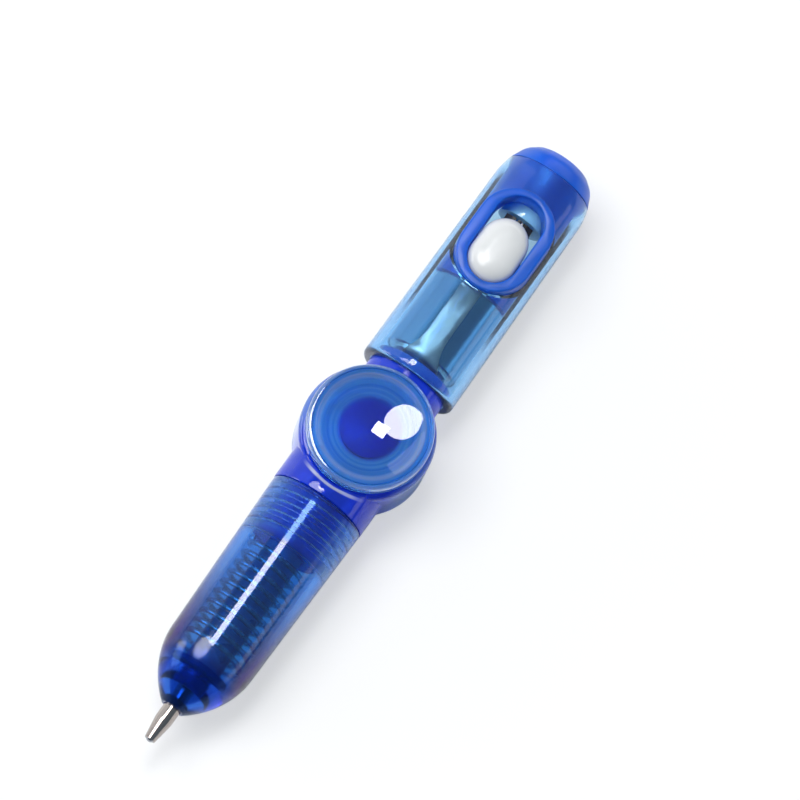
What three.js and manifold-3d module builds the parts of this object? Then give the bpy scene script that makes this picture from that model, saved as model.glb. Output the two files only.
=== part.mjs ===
// Fidget spinner pen: a short ball pen and a small light joined by a hub that spins between two finger pads.
// Millimetres. The hub's centre is the origin while the pieces are made: +X runs to the light end, -X to the
// writing tip, and +Z is the spin axis. The last lines stand the pen on its lower pad at the origin.

import * as THREE from 'three';
import { mergeVertices } from 'three/addons/utils/BufferGeometryUtils.js';
import Module from 'manifold-3d';

const wasm = await Module();
wasm.setup();

// Hub and finger pads
const hubRadius = 5.07;
const hubHalfHeight = 2.85;
const hubEdgeRound = 0.5;
const padRadius = 4.71;
const padHeight = 1.52;
const padRimWidth = 0.74;
const padEdgeRound = 0.3;
const dishDepth = 0.95;
const padRunGap = 0.2;
const padSideGap = 0.2;
const axleRadius = 2.14;
const axleSeatDepth = 0.3;
const axleRunGap = 0.08;

// Gaps between pieces that touch on the real pen
const fitGap = 0.05;
const seatGap = 0.3;
const contactGap = 0.1;

// Pen half
const collarLength = 1.03;
const noseLength = 18.4;
const noseMouthRadius = 3.8;
const noseDomeStartRadius = 3.52;
const noseDomeLength = 5.17;
const noseDomeReach = 5.75;
const noseDomePower = 0.8;
const noseBoreRadius = 2.82;
const noseWallAtSeat = 0.62;
const stubLength = 4.2;
const threadPitch = 0.88;
const threadRunOut = 0.4;
const threadFade = 0.5;
const threadEngagement = 0.2;
const threadRidgeBase = 0.4;
const threadRidgeCrest = 0.18;
const threadClearance = 0.1;
const springBoreStep = 0.08;
const collarStep = 0.03;
const springWire = 0.4;
const springTurns = 10;
const springPitch = 0.88;
const springBoreGap = 0.25;
const springTailBend = 0.25;
const refillRadius = 1.5;
const refillBore = 1.05;
const refillLength = 15.8;
const inkLength = 11;
const adapterFlangeRadius = 2.3;
const adapterFlangeThickness = 0.5;
const adapterSpigotRadius = 1.35;
const adapterSpigotLength = 1.1;
const adapterPlugLength = 1.2;
const tipRadius = 0.68;
const tipReach = 3.02;
const tipConeLength = 1.7;
const tipRimRadius = 0.42;
const tipChannelRadius = 0.25;
const ballRadius = 0.35;
const ballSocketGap = 0.03;
const ballLipPastCentre = 0.17;

// Light half
const barrelHubGap = 0.38;
const lightBarrelRadius = 3.9;
const lightBarrelEndRadius = 3.74;
const lightBarrelWall = 0.65;
const barrelEndRound = 0.35;
const barrelCapRound = 0.22;
const capRoundLength = 0.95;
const hubPlugReach = 1.05;
const switchFromCells = 4.1;
const barrelPastSwitch = 6.55;
const frameLength = 8.47;
const frameWidth = 5.93;
const frameTop = 4.1;
const frameEdgeRound = 0.25;
const slotFromFrameCentre = 0.05;
const slotLength = 7.2;
const slotWidth = 3.9;
const tongueThickness = 0.65;
const capPlugLength = 2.85;
const capHeadLength = 1.84;
const capHeadRadius = 3.5;
const capConeLength = 1.15;
const capConeRadius = 3.0;
const capTopRadius = 2.2;

// Switch
const buttonLength = 5.25;
const buttonSideGap = 0.05;
const buttonEndGap = 0.08;
const buttonProud = 0.35;
const buttonCrown = 0.6;
const buttonNeckLength = 2.3;
const buttonNeckWidth = 3.0;
const buttonNarrowShare = 0.94;
const buttonTaperShare = 0.7;
const sliderThickness = 0.36;
const sliderWidth = 4.12;
const sliderLength = 2.5;

// Light and cells
const cellRadius = 2.9;
const cellThickness = 2.15;
const cellCount = 3;
const cellCapRadius = 2.35;
const cellCapHeight = 0.25;
const cellEdgeRound = 0.15;
const cellDrop = 0.2;
const sleeveWall = 0.1;
const sleeveGap = 0.02;
const stripThickness = 0.15;
const stripWidth = 1.6;
const stripFootWidth = 2.3;
const stripFootPlateWidth = 2.9;
const stripFootDrop = 1.0;
const stripFlareLength = 1.6;
const stripBladeLength = 2.6;
const stripDropLength = 0.9;
const ledRadius = 1.5;
const ledFlangeRadius = 1.9;
const ledFlangeThickness = 1.0;
const ledLength = 5.3;
const ledRecess = 0.4;
const ledHoleGap = 0.06;
const leadWidth = 0.45;
const leadInLens = 2.4;
const cathodeReach = 3.0;
const spacerThickness = 0.55;
const spacerFromLens = 0.95;
const spacerWidth = 2.3;
const spacerNotchWidth = 0.18;
const spacerNotchDepth = 1.4;
const spacerNotchSpread = 0.5;

// Mesh fineness: sides on a turned piece by its size
const hubSides = 40;
const wideSides = 32;
const threadSides = 20;
const middleSides = 24;
const smallSides = 12;
const arcSteps = 3;
const curveSteps = 7;
const weldDistance = 2e-3;
const cutReach = 1;

// Stations along the pen, from the sizes above
const padUnderside = hubHalfHeight + padRunGap;
const padTop = padUnderside + padHeight;
const collarEnd = -(hubRadius + collarLength);
const collarRadius = noseMouthRadius + collarStep;
const noseStart = collarEnd - fitGap;
const noseEnd = noseStart - noseLength;
const noseDomeStart = noseEnd + noseDomeLength;
const stubEnd = collarEnd - stubLength;
const stubCrestRadius = noseBoreRadius + threadEngagement;
const stubRootRadius = noseBoreRadius - threadClearance;
const tipEnd = noseEnd - tipReach;
const springBoreRadius = noseBoreRadius + springBoreStep;
const springOuterRadius = springBoreRadius - springBoreGap;
const springRadius = springOuterRadius - springWire / 2;
const springTail = springTailBend + springWire;
const springStart = stubEnd - seatGap - springTail;
const springEnd = springStart - springTurns * springPitch;
const adapterBack = springEnd - springTail - seatGap;
const adapterFlangeFront = adapterBack - adapterFlangeThickness;
const noseLedge = adapterFlangeFront - seatGap;
const refillFront = adapterBack + fitGap;
const refillBack = refillFront + refillLength;
const lightBarrelStart = hubRadius + barrelHubGap;
const lightBoreRadius = lightBarrelRadius - lightBarrelWall;
const capPlugRadius = lightBoreRadius - fitGap;
const hubPlugEnd = lightBarrelStart + hubPlugReach;
const footPlateX = hubPlugEnd + contactGap * 2;
const cellStackStart = footPlateX + stripThickness + contactGap * 2;
const cellStackEnd = cellStackStart + cellCount * cellThickness;
const frameCentre = cellStackEnd + switchFromCells;
const lightBarrelEnd = frameCentre + barrelPastSwitch;
const capHeadStart = lightBarrelEnd + fitGap;
const capEnd = capHeadStart + capHeadLength;
const capPlugStart = lightBarrelEnd - capPlugLength;
const slotCentre = frameCentre + slotFromFrameCentre;
const slotStart = slotCentre - slotLength / 2;
const tongueBore = capPlugRadius - tongueThickness;
const sleeveRadius = cellRadius + sleeveGap + sleeveWall;
const stripRunHeight = sleeveRadius - cellDrop + contactGap / 2;
const ledEnd = capEnd - ledRecess;
const ledBase = ledEnd - ledLength;
const buttonWidth = slotWidth - 2 * buttonSideGap;
const buttonStart = slotStart + buttonEndGap;
const buttonEnd = buttonStart + buttonLength;
const sliderTop = Math.sqrt((tongueBore - contactGap) ** 2 - (sliderWidth / 2) ** 2);
const sliderBottom = sliderTop - sliderThickness;
const leadSpread = 2 * (sliderBottom - contactGap) - leadWidth;
const buttonTravel = slotLength - 2 * buttonEndGap - buttonLength;
const spacerRadius = tongueBore - contactGap;
const spacerStart = ledBase - spacerFromLens;
const spacerEnd = spacerStart + spacerThickness;
const sliderEnd = spacerStart - contactGap - buttonTravel;
const bladeHeight = sliderBottom - contactGap - stripThickness / 2;
const cathodeHeight = bladeHeight - stripThickness / 2 - contactGap - leadWidth / 2;

// Solids: closed meshes handed to the boolean library and back
function solidFrom(geometry) {
  geometry.deleteAttribute('normal');
  geometry.deleteAttribute('uv');
  const merged = mergeVertices(geometry, 1e-5);
  return new wasm.Manifold(new wasm.Mesh({
    numProp: 3,
    vertProperties: new Float32Array(merged.attributes.position.array),
    triVerts: new Uint32Array(distinctFaces(merged.index.array)),
  }));
}

function distinctFaces(indices) {
  const faces = [];
  for (let i = 0; i < indices.length; i += 3) {
    const [a, b, c] = [indices[i], indices[i + 1], indices[i + 2]];
    if (a !== b && b !== c && c !== a) {
      faces.push(a, b, c);
    }
  }
  return faces;
}

function geometryFrom(solid) {
  const mesh = solid.getMesh();
  const geometry = new THREE.BufferGeometry();
  geometry.setAttribute('position', new THREE.BufferAttribute(mesh.vertProperties, 3));
  geometry.setIndex(new THREE.BufferAttribute(mesh.triVerts, 1));
  const merged = mergeVertices(geometry, weldDistance);
  merged.setIndex(distinctFaces(merged.index.array));
  return merged;
}

const joined = (...solids) => solids.reduce((sum, solid) => sum.add(solid));
const cutBy = (solid, ...tools) => tools.reduce((rest, tool) => rest.subtract(tool), solid);

// Turned shapes: profile points are [along, radius], up the outside and back down the inside
function turnedAlongX(points, sides) {
  const profile = points.map(([along, radius]) => new THREE.Vector2(radius, along));
  return solidFrom(new THREE.LatheGeometry(profile, sides).rotateZ(-Math.PI / 2));
}

function turnedAlongZ(points, sides) {
  const profile = points.map(([along, radius]) => new THREE.Vector2(radius, along));
  return solidFrom(new THREE.LatheGeometry(profile, sides).rotateX(Math.PI / 2));
}

function rodAlongX(start, end, radius, sides) {
  return turnedAlongX([[start, 0], [start, radius], [end, radius], [end, 0]], sides);
}

function rodAlongZ(bottom, top, radius, sides) {
  return turnedAlongZ([[bottom, 0], [bottom, radius], [top, radius], [top, 0]], sides);
}

function block(x0, x1, y0, y1, z0, z1) {
  const box = new THREE.BoxGeometry(x1 - x0, y1 - y0, z1 - z0);
  return solidFrom(box.translate((x0 + x1) / 2, (y0 + y1) / 2, (z0 + z1) / 2));
}

// A quarter round on a profile, from one [along, radius] point to the other
function quarterRound(from, to, alongFirst) {
  const points = [];
  for (let step = 1; step < arcSteps; step += 1) {
    const angle = (Math.PI / 2) * (step / arcSteps);
    const early = Math.sin(angle);
    const late = 1 - Math.cos(angle);
    const along = alongFirst ? early : late;
    const across = alongFirst ? late : early;
    points.push([from[0] + (to[0] - from[0]) * along, from[1] + (to[1] - from[1]) * across]);
  }
  return [from, ...points, to];
}

function racetrack(length, width) {
  const radius = width / 2;
  const straight = (length - width) / 2;
  const outline = new THREE.Shape();
  outline.moveTo(-straight, -radius);
  outline.lineTo(straight, -radius);
  outline.absarc(straight, 0, radius, -Math.PI / 2, Math.PI / 2, false);
  outline.lineTo(-straight, radius);
  outline.absarc(-straight, 0, radius, Math.PI / 2, Math.PI * 1.5, false);
  return outline;
}

// A prism standing on a plan outline, from z0 to z1
function uprightPrism(outline, z0, z1, centreX) {
  const settings = { depth: z1 - z0, bevelEnabled: false, curveSegments: curveSteps };
  const geometry = new THREE.ExtrudeGeometry(outline, settings);
  return solidFrom(geometry.translate(centreX, 0, z0));
}

// A prism standing on a plan outline with its upper and lower edges rounded
function roundedPrism(outline, z0, z1, centreX, round, crown, steps) {
  const geometry = new THREE.ExtrudeGeometry(outline, {
    depth: z1 - z0 - 2 * crown,
    bevelEnabled: true,
    bevelSize: round,
    bevelOffset: -round,
    bevelThickness: crown,
    bevelSegments: steps,
    curveSegments: curveSteps,
  });
  return solidFrom(geometry.translate(centreX, 0, z0 + crown));
}

// A bent strip of even thickness: corner points are [x, z] of its middle line, and its width lies along Y
function bentStrip(corners, thickness, width) {
  const points = corners.map(([x, z]) => new THREE.Vector2(x, z));
  const side = [];
  const other = [];
  points.forEach((point, index) => {
    const before = points[Math.max(index - 1, 0)];
    const after = points[Math.min(index + 1, points.length - 1)];
    const arriving = index > 0 ? point.clone().sub(before).normalize() : after.clone().sub(point).normalize();
    const leaving = index < points.length - 1 ? after.clone().sub(point).normalize() : arriving.clone();
    const tangent = arriving.clone().add(leaving).normalize();
    const normal = new THREE.Vector2(-tangent.y, tangent.x);
    const reach = thickness / 2 / normal.dot(new THREE.Vector2(-arriving.y, arriving.x));
    side.push(point.clone().addScaledVector(normal, reach));
    other.push(point.clone().addScaledVector(normal, -reach));
  });
  const outline = new THREE.Shape([...side, ...other.reverse()]);
  const geometry = new THREE.ExtrudeGeometry(outline, { depth: width, bevelEnabled: false });
  return solidFrom(geometry.rotateX(Math.PI / 2).translate(0, width / 2, 0));
}

// A rod about the X axis with a right-handed thread on part of it, and the thread fading out at both ends.
// Every row of points follows one corner of the ridge along its helix and stops at the threaded part's ends.
function threadedRod(start, end, threadStart, threadEnd, rootRadius, crestRadius, flankGap) {
  const corners = [
    [-threadRidgeBase / 2 - flankGap, 0],
    [-threadRidgeCrest / 2 - flankGap, 1],
    [threadRidgeCrest / 2 + flankGap, 1],
    [threadRidgeBase / 2 + flankGap, 0],
  ];
  const spareTurns = 2;
  const turns = Math.ceil((threadEnd - threadStart) / threadPitch) + 2 * spareTurns;
  const rows = turns * corners.length;
  const positions = [];
  const addPoint = (along, radius, column) => {
    const angle = (column / threadSides) * Math.PI * 2;
    positions.push(along, radius * Math.cos(angle), radius * Math.sin(angle));
  };
  for (let column = 0; column < threadSides; column += 1) {
    for (let row = 0; row < rows; row += 1) {
      const [offset, height] = corners[row % corners.length];
      const turn = Math.floor(row / corners.length) - spareTurns + column / threadSides;
      const along = Math.min(Math.max(stubEnd + turn * threadPitch + offset, threadStart), threadEnd);
      const fade = Math.min(1, (along - threadStart) / threadFade, (threadEnd - along) / threadFade);
      addPoint(along, rootRadius + (crestRadius - rootRadius) * height * fade, column);
    }
  }
  const faces = [];
  const indexAt = (column, row) => {
    const wrapped = column === threadSides ? row + corners.length : row;
    return (column % threadSides) * rows + Math.min(wrapped, rows - 1);
  };
  for (let column = 0; column < threadSides; column += 1) {
    for (let row = 0; row < rows - 1; row += 1) {
      const a = indexAt(column, row);
      const b = indexAt(column, row + 1);
      const c = indexAt(column + 1, row);
      const d = indexAt(column + 1, row + 1);
      faces.push(a, c, b, b, c, d);
    }
  }
  closeRod(positions, faces, rows, start, rootRadius, 0, addPoint);
  closeRod(positions, faces, rows, end, rootRadius, rows - 1, addPoint);
  const geometry = new THREE.BufferGeometry();
  geometry.setAttribute('position', new THREE.Float32BufferAttribute(positions, 3));
  geometry.setIndex(faces);
  return solidFrom(geometry);
}

// The plain length and the flat end beyond one end row of a threaded rod
function closeRod(positions, faces, rows, end, radius, endRow, addPoint) {
  const ring = positions.length / 3;
  for (let column = 0; column < threadSides; column += 1) {
    addPoint(end, radius, column);
  }
  addPoint(end, 0, 0);
  const centre = ring + threadSides;
  for (let column = 0; column < threadSides; column += 1) {
    const next = (column + 1) % threadSides;
    const [a, b] = endRow === 0 ? [column, next] : [next, column];
    faces.push(ring + a, ring + b, a * rows + endRow);
    faces.push(ring + b, b * rows + endRow, a * rows + endRow);
    faces.push(centre, ring + b, ring + a);
  }
}

// Hub: disc, collar, threaded stub and plug in one moulding, clear of both pads
function hubBody() {
  const h = hubHalfHeight;
  const r = hubRadius;
  const e = hubEdgeRound;
  const disc = turnedAlongZ([
    [-h, 0],
    ...quarterRound([-h, r - e], [-h + e, r], false),
    ...quarterRound([h - e, r], [h, r - e], true),
    [h, 0],
  ], hubSides);
  const collar = rodAlongX(collarEnd, 0, collarRadius, wideSides);
  const stub = threadedRod(
    stubEnd, collarEnd + fitGap, stubEnd + threadRunOut, collarEnd - threadRunOut,
    stubRootRadius, stubCrestRadius, 0,
  );
  const plugRound = barrelEndRound;
  const plug = turnedAlongX([
    [0, 0],
    [0, capPlugRadius],
    ...quarterRound([hubPlugEnd - plugRound, capPlugRadius], [hubPlugEnd, capPlugRadius - plugRound], true),
    [hubPlugEnd, 0],
  ], wideSides);
  const padSpace = padRadius + padSideGap;
  const above = rodAlongZ(h, h + padRadius, padSpace, hubSides);
  const below = rodAlongZ(-h - padRadius, -h, padSpace, hubSides);
  const axleBore = rodAlongZ(-hubRadius, hubRadius, axleRadius + axleRunGap, middleSides);
  const holeEnd = refillBack + seatGap;
  const refillHole = rodAlongX(stubEnd - cutReach, holeEnd, refillRadius + contactGap, middleSides);
  return geometryFrom(cutBy(joined(disc, collar, stub, plug), above, below, axleBore, refillHole));
}

// Finger pad: a dished disc with a rounded rim and a blind socket for the axle, made upper side up
function fingerPad() {
  const z0 = padUnderside;
  const z1 = padTop;
  const e = padEdgeRound;
  const socketTop = z0 + axleSeatDepth + fitGap;
  const socketRadius = axleRadius + fitGap;
  const rimInner = padRadius - padRimWidth;
  const dishSteps = 5;
  const dish = [];
  for (let step = 0; step <= dishSteps; step += 1) {
    const share = step / dishSteps;
    dish.push([z1 - dishDepth * (1 - (1 - share) ** 2), rimInner * (1 - share)]);
  }
  return turnedAlongZ([
    [socketTop, 0],
    [socketTop, socketRadius],
    [z0, socketRadius],
    [z0, padRadius - e],
    [z0 + e, padRadius],
    ...quarterRound([z1 - e, padRadius], [z1, padRadius - e], true),
    ...dish,
  ], wideSides);
}

const topFingerPad = () => geometryFrom(fingerPad());
const bottomFingerPad = () => geometryFrom(fingerPad()).rotateX(Math.PI);

function padAxle() {
  const reach = padUnderside + axleSeatDepth;
  const bevel = padEdgeRound / 2;
  return geometryFrom(turnedAlongZ([
    [-reach, 0],
    [-reach, axleRadius - bevel],
    [-reach + bevel, axleRadius],
    [reach - bevel, axleRadius],
    [reach, axleRadius - bevel],
    [reach, 0],
  ], middleSides));
}

// Outer radius of the nose barrel at a place on the pen's axis
function noseRadiusAt(x) {
  if (x > noseDomeStart) {
    const share = (noseStart - x) / (noseStart - noseDomeStart);
    return noseMouthRadius + (noseDomeStartRadius - noseMouthRadius) * share;
  }
  const along = (noseDomeStart - x) / noseDomeReach;
  return noseDomeStartRadius * (1 - along ** 2) ** noseDomePower;
}

// Nose barrel: thin wall, inner thread at its mouth, a ledge for the refill and a thick domed end
function noseBarrel() {
  const domeSteps = 8;
  const outside = [];
  for (let step = 0; step <= domeSteps; step += 1) {
    const x = noseEnd + noseDomeLength * (step / domeSteps);
    outside.push([x, noseRadiusAt(x)]);
  }
  const ledgeRadius = noseRadiusAt(noseLedge) - noseWallAtSeat;
  const narrowRadius = adapterSpigotRadius + fitGap * 3;
  const narrowEnd = adapterFlangeFront - adapterSpigotLength - seatGap;
  const tipHole = tipRadius + fitGap;
  const threadStart = stubEnd;
  const shell = turnedAlongX([
    [noseEnd, tipHole],
    ...outside,
    ...quarterRound([noseStart - fitGap, noseMouthRadius], [noseStart, noseMouthRadius - fitGap], true),
    [noseStart, refillRadius],
    [threadStart, refillRadius],
    [threadStart, springBoreRadius],
    [adapterBack, springBoreRadius],
    [noseLedge, ledgeRadius],
    [noseLedge, narrowRadius],
    [narrowEnd, narrowRadius],
    [narrowEnd - narrowRadius + tipHole, tipHole],
    [noseEnd, tipHole],
  ], wideSides);
  const threadedBore = threadedRod(
    threadStart - fitGap, noseStart + threadPitch, threadStart, noseStart + threadPitch / 2,
    noseBoreRadius, stubCrestRadius + threadClearance, threadClearance,
  );
  return geometryFrom(cutBy(shell, threadedBore));
}

// Middle line of the spring: a helix whose ends bend over and run straight into their seats
function springRoute() {
  const stepsPerTurn = 8;
  const bendSteps = 3;
  const points = [];
  const steps = springTurns * stepsPerTurn;
  const pointAt = (turn) => {
    const angle = turn * Math.PI * 2;
    const x = springStart - turn * springPitch;
    return new THREE.Vector3(x, springRadius * Math.cos(angle), springRadius * Math.sin(angle));
  };
  const tangentAt = (turn, sign) => {
    const angle = turn * Math.PI * 2;
    return new THREE.Vector3(0, -Math.sin(angle) * sign, Math.cos(angle) * sign);
  };
  const tail = (turn, sign) => {
    const axial = new THREE.Vector3(-sign, 0, 0);
    const around = tangentAt(turn, sign);
    const from = pointAt(turn);
    const bend = [];
    for (let step = 1; step <= bendSteps; step += 1) {
      const angle = (Math.PI / 2) * (step / bendSteps);
      const along = springTailBend * (1 - Math.cos(angle));
      const out = springTailBend * Math.sin(angle);
      bend.push(from.clone().addScaledVector(around, out).addScaledVector(axial, along));
    }
    bend.push(bend[bend.length - 1].clone().addScaledVector(axial, springWire));
    return bend;
  };
  points.push(...tail(0, -1).reverse());
  for (let step = 0; step <= steps; step += 1) {
    points.push(pointAt(step / stepsPerTurn));
  }
  points.push(...tail(springTurns, 1));
  return points;
}

// Least clear distance between stretches of wire more than half a turn apart
function leastSpringGap(route) {
  const skipped = 5;
  let least = Infinity;
  route.forEach((point, index) => {
    for (let other = index + skipped; other < route.length; other += 1) {
      least = Math.min(least, point.distanceTo(route[other]) - springWire);
    }
  });
  return least;
}

// Nose spring: one unbroken five-sided wire along its route
function noseSpring() {
  const route = springRoute();
  const sides = 5;
  const positions = [];
  const faces = [];
  const normal = new THREE.Vector3(0, 1, 0);
  route.forEach((point, index) => {
    const before = route[Math.max(index - 1, 0)];
    const after = route[Math.min(index + 1, route.length - 1)];
    const tangent = after.clone().sub(before).normalize();
    normal.addScaledVector(tangent, -normal.dot(tangent)).normalize();
    const binormal = tangent.clone().cross(normal);
    for (let side = 0; side < sides; side += 1) {
      const angle = (side / sides) * Math.PI * 2;
      const corner = point.clone()
        .addScaledVector(normal, Math.cos(angle) * springWire / 2)
        .addScaledVector(binormal, Math.sin(angle) * springWire / 2);
      positions.push(corner.x, corner.y, corner.z);
    }
  });
  for (let index = 0; index < route.length - 1; index += 1) {
    for (let side = 0; side < sides; side += 1) {
      const a = index * sides + side;
      const b = index * sides + ((side + 1) % sides);
      faces.push(a, b, a + sides, b, b + sides, a + sides);
    }
  }
  const last = (route.length - 1) * sides;
  for (let side = 1; side < sides - 1; side += 1) {
    faces.push(0, side + 1, side);
    faces.push(last, last + side, last + side + 1);
  }
  const geometry = new THREE.BufferGeometry();
  geometry.setAttribute('position', new THREE.Float32BufferAttribute(positions, 3));
  geometry.setIndex(faces);
  console.log(`nose spring: least gap to itself ${leastSpringGap(route).toFixed(3)} mm`);
  return geometry;
}

function refillTube() {
  return geometryFrom(turnedAlongX([
    [refillFront, refillBore],
    [refillFront, refillRadius],
    [refillBack, refillRadius],
    [refillBack, refillBore],
    [refillFront, refillBore],
  ], middleSides));
}

function inkColumn() {
  const front = refillFront + adapterPlugLength + fitGap;
  return geometryFrom(rodAlongX(front, front + inkLength, refillBore - fitGap, smallSides));
}

// Refill adapter: plug in the tube, flange under the spring and spigot in the nose, bored for the point
function refillAdapter() {
  const hole = tipRadius + fitGap;
  const spigotEnd = adapterFlangeFront - adapterSpigotLength;
  return geometryFrom(turnedAlongX([
    [spigotEnd, hole],
    [spigotEnd, adapterSpigotRadius],
    [adapterFlangeFront, adapterSpigotRadius],
    [adapterFlangeFront, adapterFlangeRadius],
    [adapterBack, adapterFlangeRadius],
    [adapterBack, refillBore - fitGap],
    [adapterBack + adapterPlugLength, refillBore - fitGap],
    [adapterBack + adapterPlugLength, hole],
    [spigotEnd, hole],
  ], middleSides));
}

// Metal point: straight stem, cone, ink channel and the socket that keeps the ball
function refillTip() {
  const ballCentre = tipEnd + ballRadius;
  const rim = ballCentre - ballLipPastCentre;
  const socket = ballRadius + ballSocketGap;
  const back = adapterBack + adapterPlugLength;
  const lipRadius = Math.sqrt(socket ** 2 - ballLipPastCentre ** 2);
  const floorDepth = Math.sqrt(socket ** 2 - tipChannelRadius ** 2);
  const fromAngle = Math.atan2(tipChannelRadius, floorDepth);
  const toAngle = Math.PI - Math.atan2(lipRadius, ballLipPastCentre);
  const socketSteps = 5;
  const inside = [];
  for (let step = 0; step <= socketSteps; step += 1) {
    const angle = fromAngle + (toAngle - fromAngle) * (step / socketSteps);
    inside.push([ballCentre + socket * Math.cos(angle), socket * Math.sin(angle)]);
  }
  return geometryFrom(turnedAlongX([
    inside[inside.length - 1],
    [rim, tipRimRadius],
    [rim + tipConeLength, tipRadius],
    [back, tipRadius],
    [back, tipChannelRadius],
    ...inside,
  ], smallSides));
}

function writingBall() {
  const ball = new THREE.SphereGeometry(ballRadius, smallSides, smallSides / 2 + 2);
  return geometryFrom(solidFrom(ball)).translate(tipEnd + ballRadius, 0, 0);
}

// Light barrel: drafted tube with rounded ends and a racetrack window on top
function lightBarrel() {
  const e = barrelEndRound;
  const shoulder = lightBarrelEnd - capRoundLength;
  const hubEdge = [lightBarrelStart, lightBarrelRadius - e];
  const capEdge = [lightBarrelEnd, lightBarrelEndRadius - barrelCapRound];
  const shell = turnedAlongX([
    [lightBarrelStart, lightBoreRadius],
    ...quarterRound(hubEdge, [lightBarrelStart + e, lightBarrelRadius], false),
    ...quarterRound([shoulder, lightBarrelEndRadius], capEdge, true),
    [lightBarrelEnd, lightBoreRadius],
    [lightBarrelStart, lightBoreRadius],
  ], wideSides);
  const windowOutline = racetrack(frameLength + 2 * fitGap, frameWidth + 2 * fitGap);
  return geometryFrom(cutBy(shell, uprightPrism(windowOutline, 0, frameTop + cutReach, frameCentre)));
}

// End cap: domed head, plug, and a tongue that carries the raised switch frame in the barrel's window
function endCap() {
  const head = turnedAlongX([
    [capHeadStart, 0],
    [capHeadStart, capHeadRadius],
    ...quarterRound([capHeadStart + capConeLength, capConeRadius], [capEnd, capTopRadius], true),
    [capEnd, 0],
  ], wideSides);
  const plug = rodAlongX(capPlugStart, capHeadStart + fitGap, capPlugRadius, wideSides);
  const tongueStart = frameCentre - frameLength / 2;
  const insideTongue = rodAlongX(tongueStart, capPlugStart + fitGap, capPlugRadius, wideSides);
  const halfWidth = frameWidth / 2;
  const tongueArea = block(tongueStart, capPlugStart + fitGap, -halfWidth, halfWidth, 0, frameTop);
  const frame = roundedPrism(
    racetrack(frameLength, frameWidth), -frameTop, frameTop, frameCentre, frameEdgeRound, frameEdgeRound, 2,
  );
  const upperHalf = block(
    tongueStart - cutReach, lightBarrelEnd, -frameWidth, frameWidth, 0, frameTop + cutReach,
  );
  const tongue = joined(insideTongue.intersect(tongueArea), frame.intersect(upperHalf));
  const hollow = rodAlongX(tongueStart - cutReach, capPlugStart, tongueBore, wideSides);
  const cellSpace = rodAlongX(
    tongueStart - cutReach, cellStackEnd + contactGap, capPlugRadius + fitGap, wideSides,
  );
  const stripNotch = block(
    tongueStart - cutReach, slotStart + seatGap, -stripWidth / 2 - seatGap, stripWidth / 2 + seatGap,
    0, capPlugRadius,
  );
  const slot = uprightPrism(racetrack(slotLength, slotWidth), 0, frameTop + cutReach, slotCentre);
  const body = joined(cutBy(tongue, hollow, cellSpace, stripNotch, slot), plug, head);
  const ledHole = rodAlongX(capPlugStart, capEnd + cutReach, ledRadius + ledHoleGap, middleSides);
  const flangeSeat = ledBase + ledFlangeThickness + fitGap;
  const pocketRadius = ledFlangeRadius + ledHoleGap;
  const flangePocket = rodAlongX(capPlugStart - cutReach, flangeSeat, pocketRadius, middleSides);
  return geometryFrom(cutBy(body, ledHole, flangePocket));
}

// Button outline in plan: a broad hub end and a narrower rounded end toward the cap
function buttonOutline() {
  const half = buttonWidth / 2;
  const narrow = half * buttonNarrowShare;
  const straight = buttonLength - half - narrow;
  const outline = new THREE.Shape();
  const hubCentre = -buttonLength / 2 + half;
  outline.moveTo(hubCentre, -half);
  outline.quadraticCurveTo(hubCentre + straight * buttonTaperShare, -half, hubCentre + straight, -narrow);
  outline.absarc(hubCentre + straight, 0, narrow, -Math.PI / 2, Math.PI / 2, false);
  outline.quadraticCurveTo(hubCentre + straight * buttonTaperShare, half, hubCentre, half);
  outline.absarc(hubCentre, 0, half, Math.PI / 2, Math.PI * 1.5, false);
  return outline;
}

function switchButton() {
  const top = frameTop + buttonProud;
  const underside = tongueBore + fitGap * 2;
  const centre = (buttonStart + buttonEnd) / 2;
  const dome = roundedPrism(
    buttonOutline(), underside - buttonCrown, top, centre, buttonCrown + buttonProud, buttonCrown, 4,
  );
  const above = block(
    buttonStart - cutReach, buttonEnd + cutReach, -buttonWidth, buttonWidth, underside, top + cutReach,
  );
  const neck = block(
    sliderEnd - buttonNeckLength, sliderEnd, -buttonNeckWidth / 2, buttonNeckWidth / 2,
    sliderTop + fitGap, underside + fitGap,
  );
  return geometryFrom(joined(dome.intersect(above), neck));
}

// Slider under the button: a black plate wider than the slot, so that the button can't lift out
function switchSlider() {
  const half = sliderWidth / 2;
  return geometryFrom(block(sliderEnd - sliderLength, sliderEnd, -half, half, sliderBottom, sliderTop));
}

// Spacer behind the diode: an upright black plate with rounded ends, two lead holes and two notches on top
function ledSpacer() {
  const disc = rodAlongX(spacerStart, spacerEnd, spacerRadius, middleSides);
  const side = spacerWidth / 2;
  const plate = disc.intersect(block(
    spacerStart - cutReach, spacerEnd + cutReach, -side, side, -spacerRadius, spacerRadius,
  ));
  const half = leadWidth / 2 + contactGap;
  const hole = (way) => block(
    spacerStart - cutReach, spacerEnd + cutReach, -half, half,
    way * leadSpread / 2 - half, way * leadSpread / 2 + half,
  );
  const notch = (way) => block(
    spacerStart - cutReach, spacerEnd + cutReach,
    way * spacerNotchSpread / 2 - spacerNotchWidth / 2, way * spacerNotchSpread / 2 + spacerNotchWidth / 2,
    spacerRadius - spacerNotchDepth, spacerRadius + cutReach,
  );
  return geometryFrom(cutBy(plate, hole(1), hole(-1), notch(1), notch(-1)));
}

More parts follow.
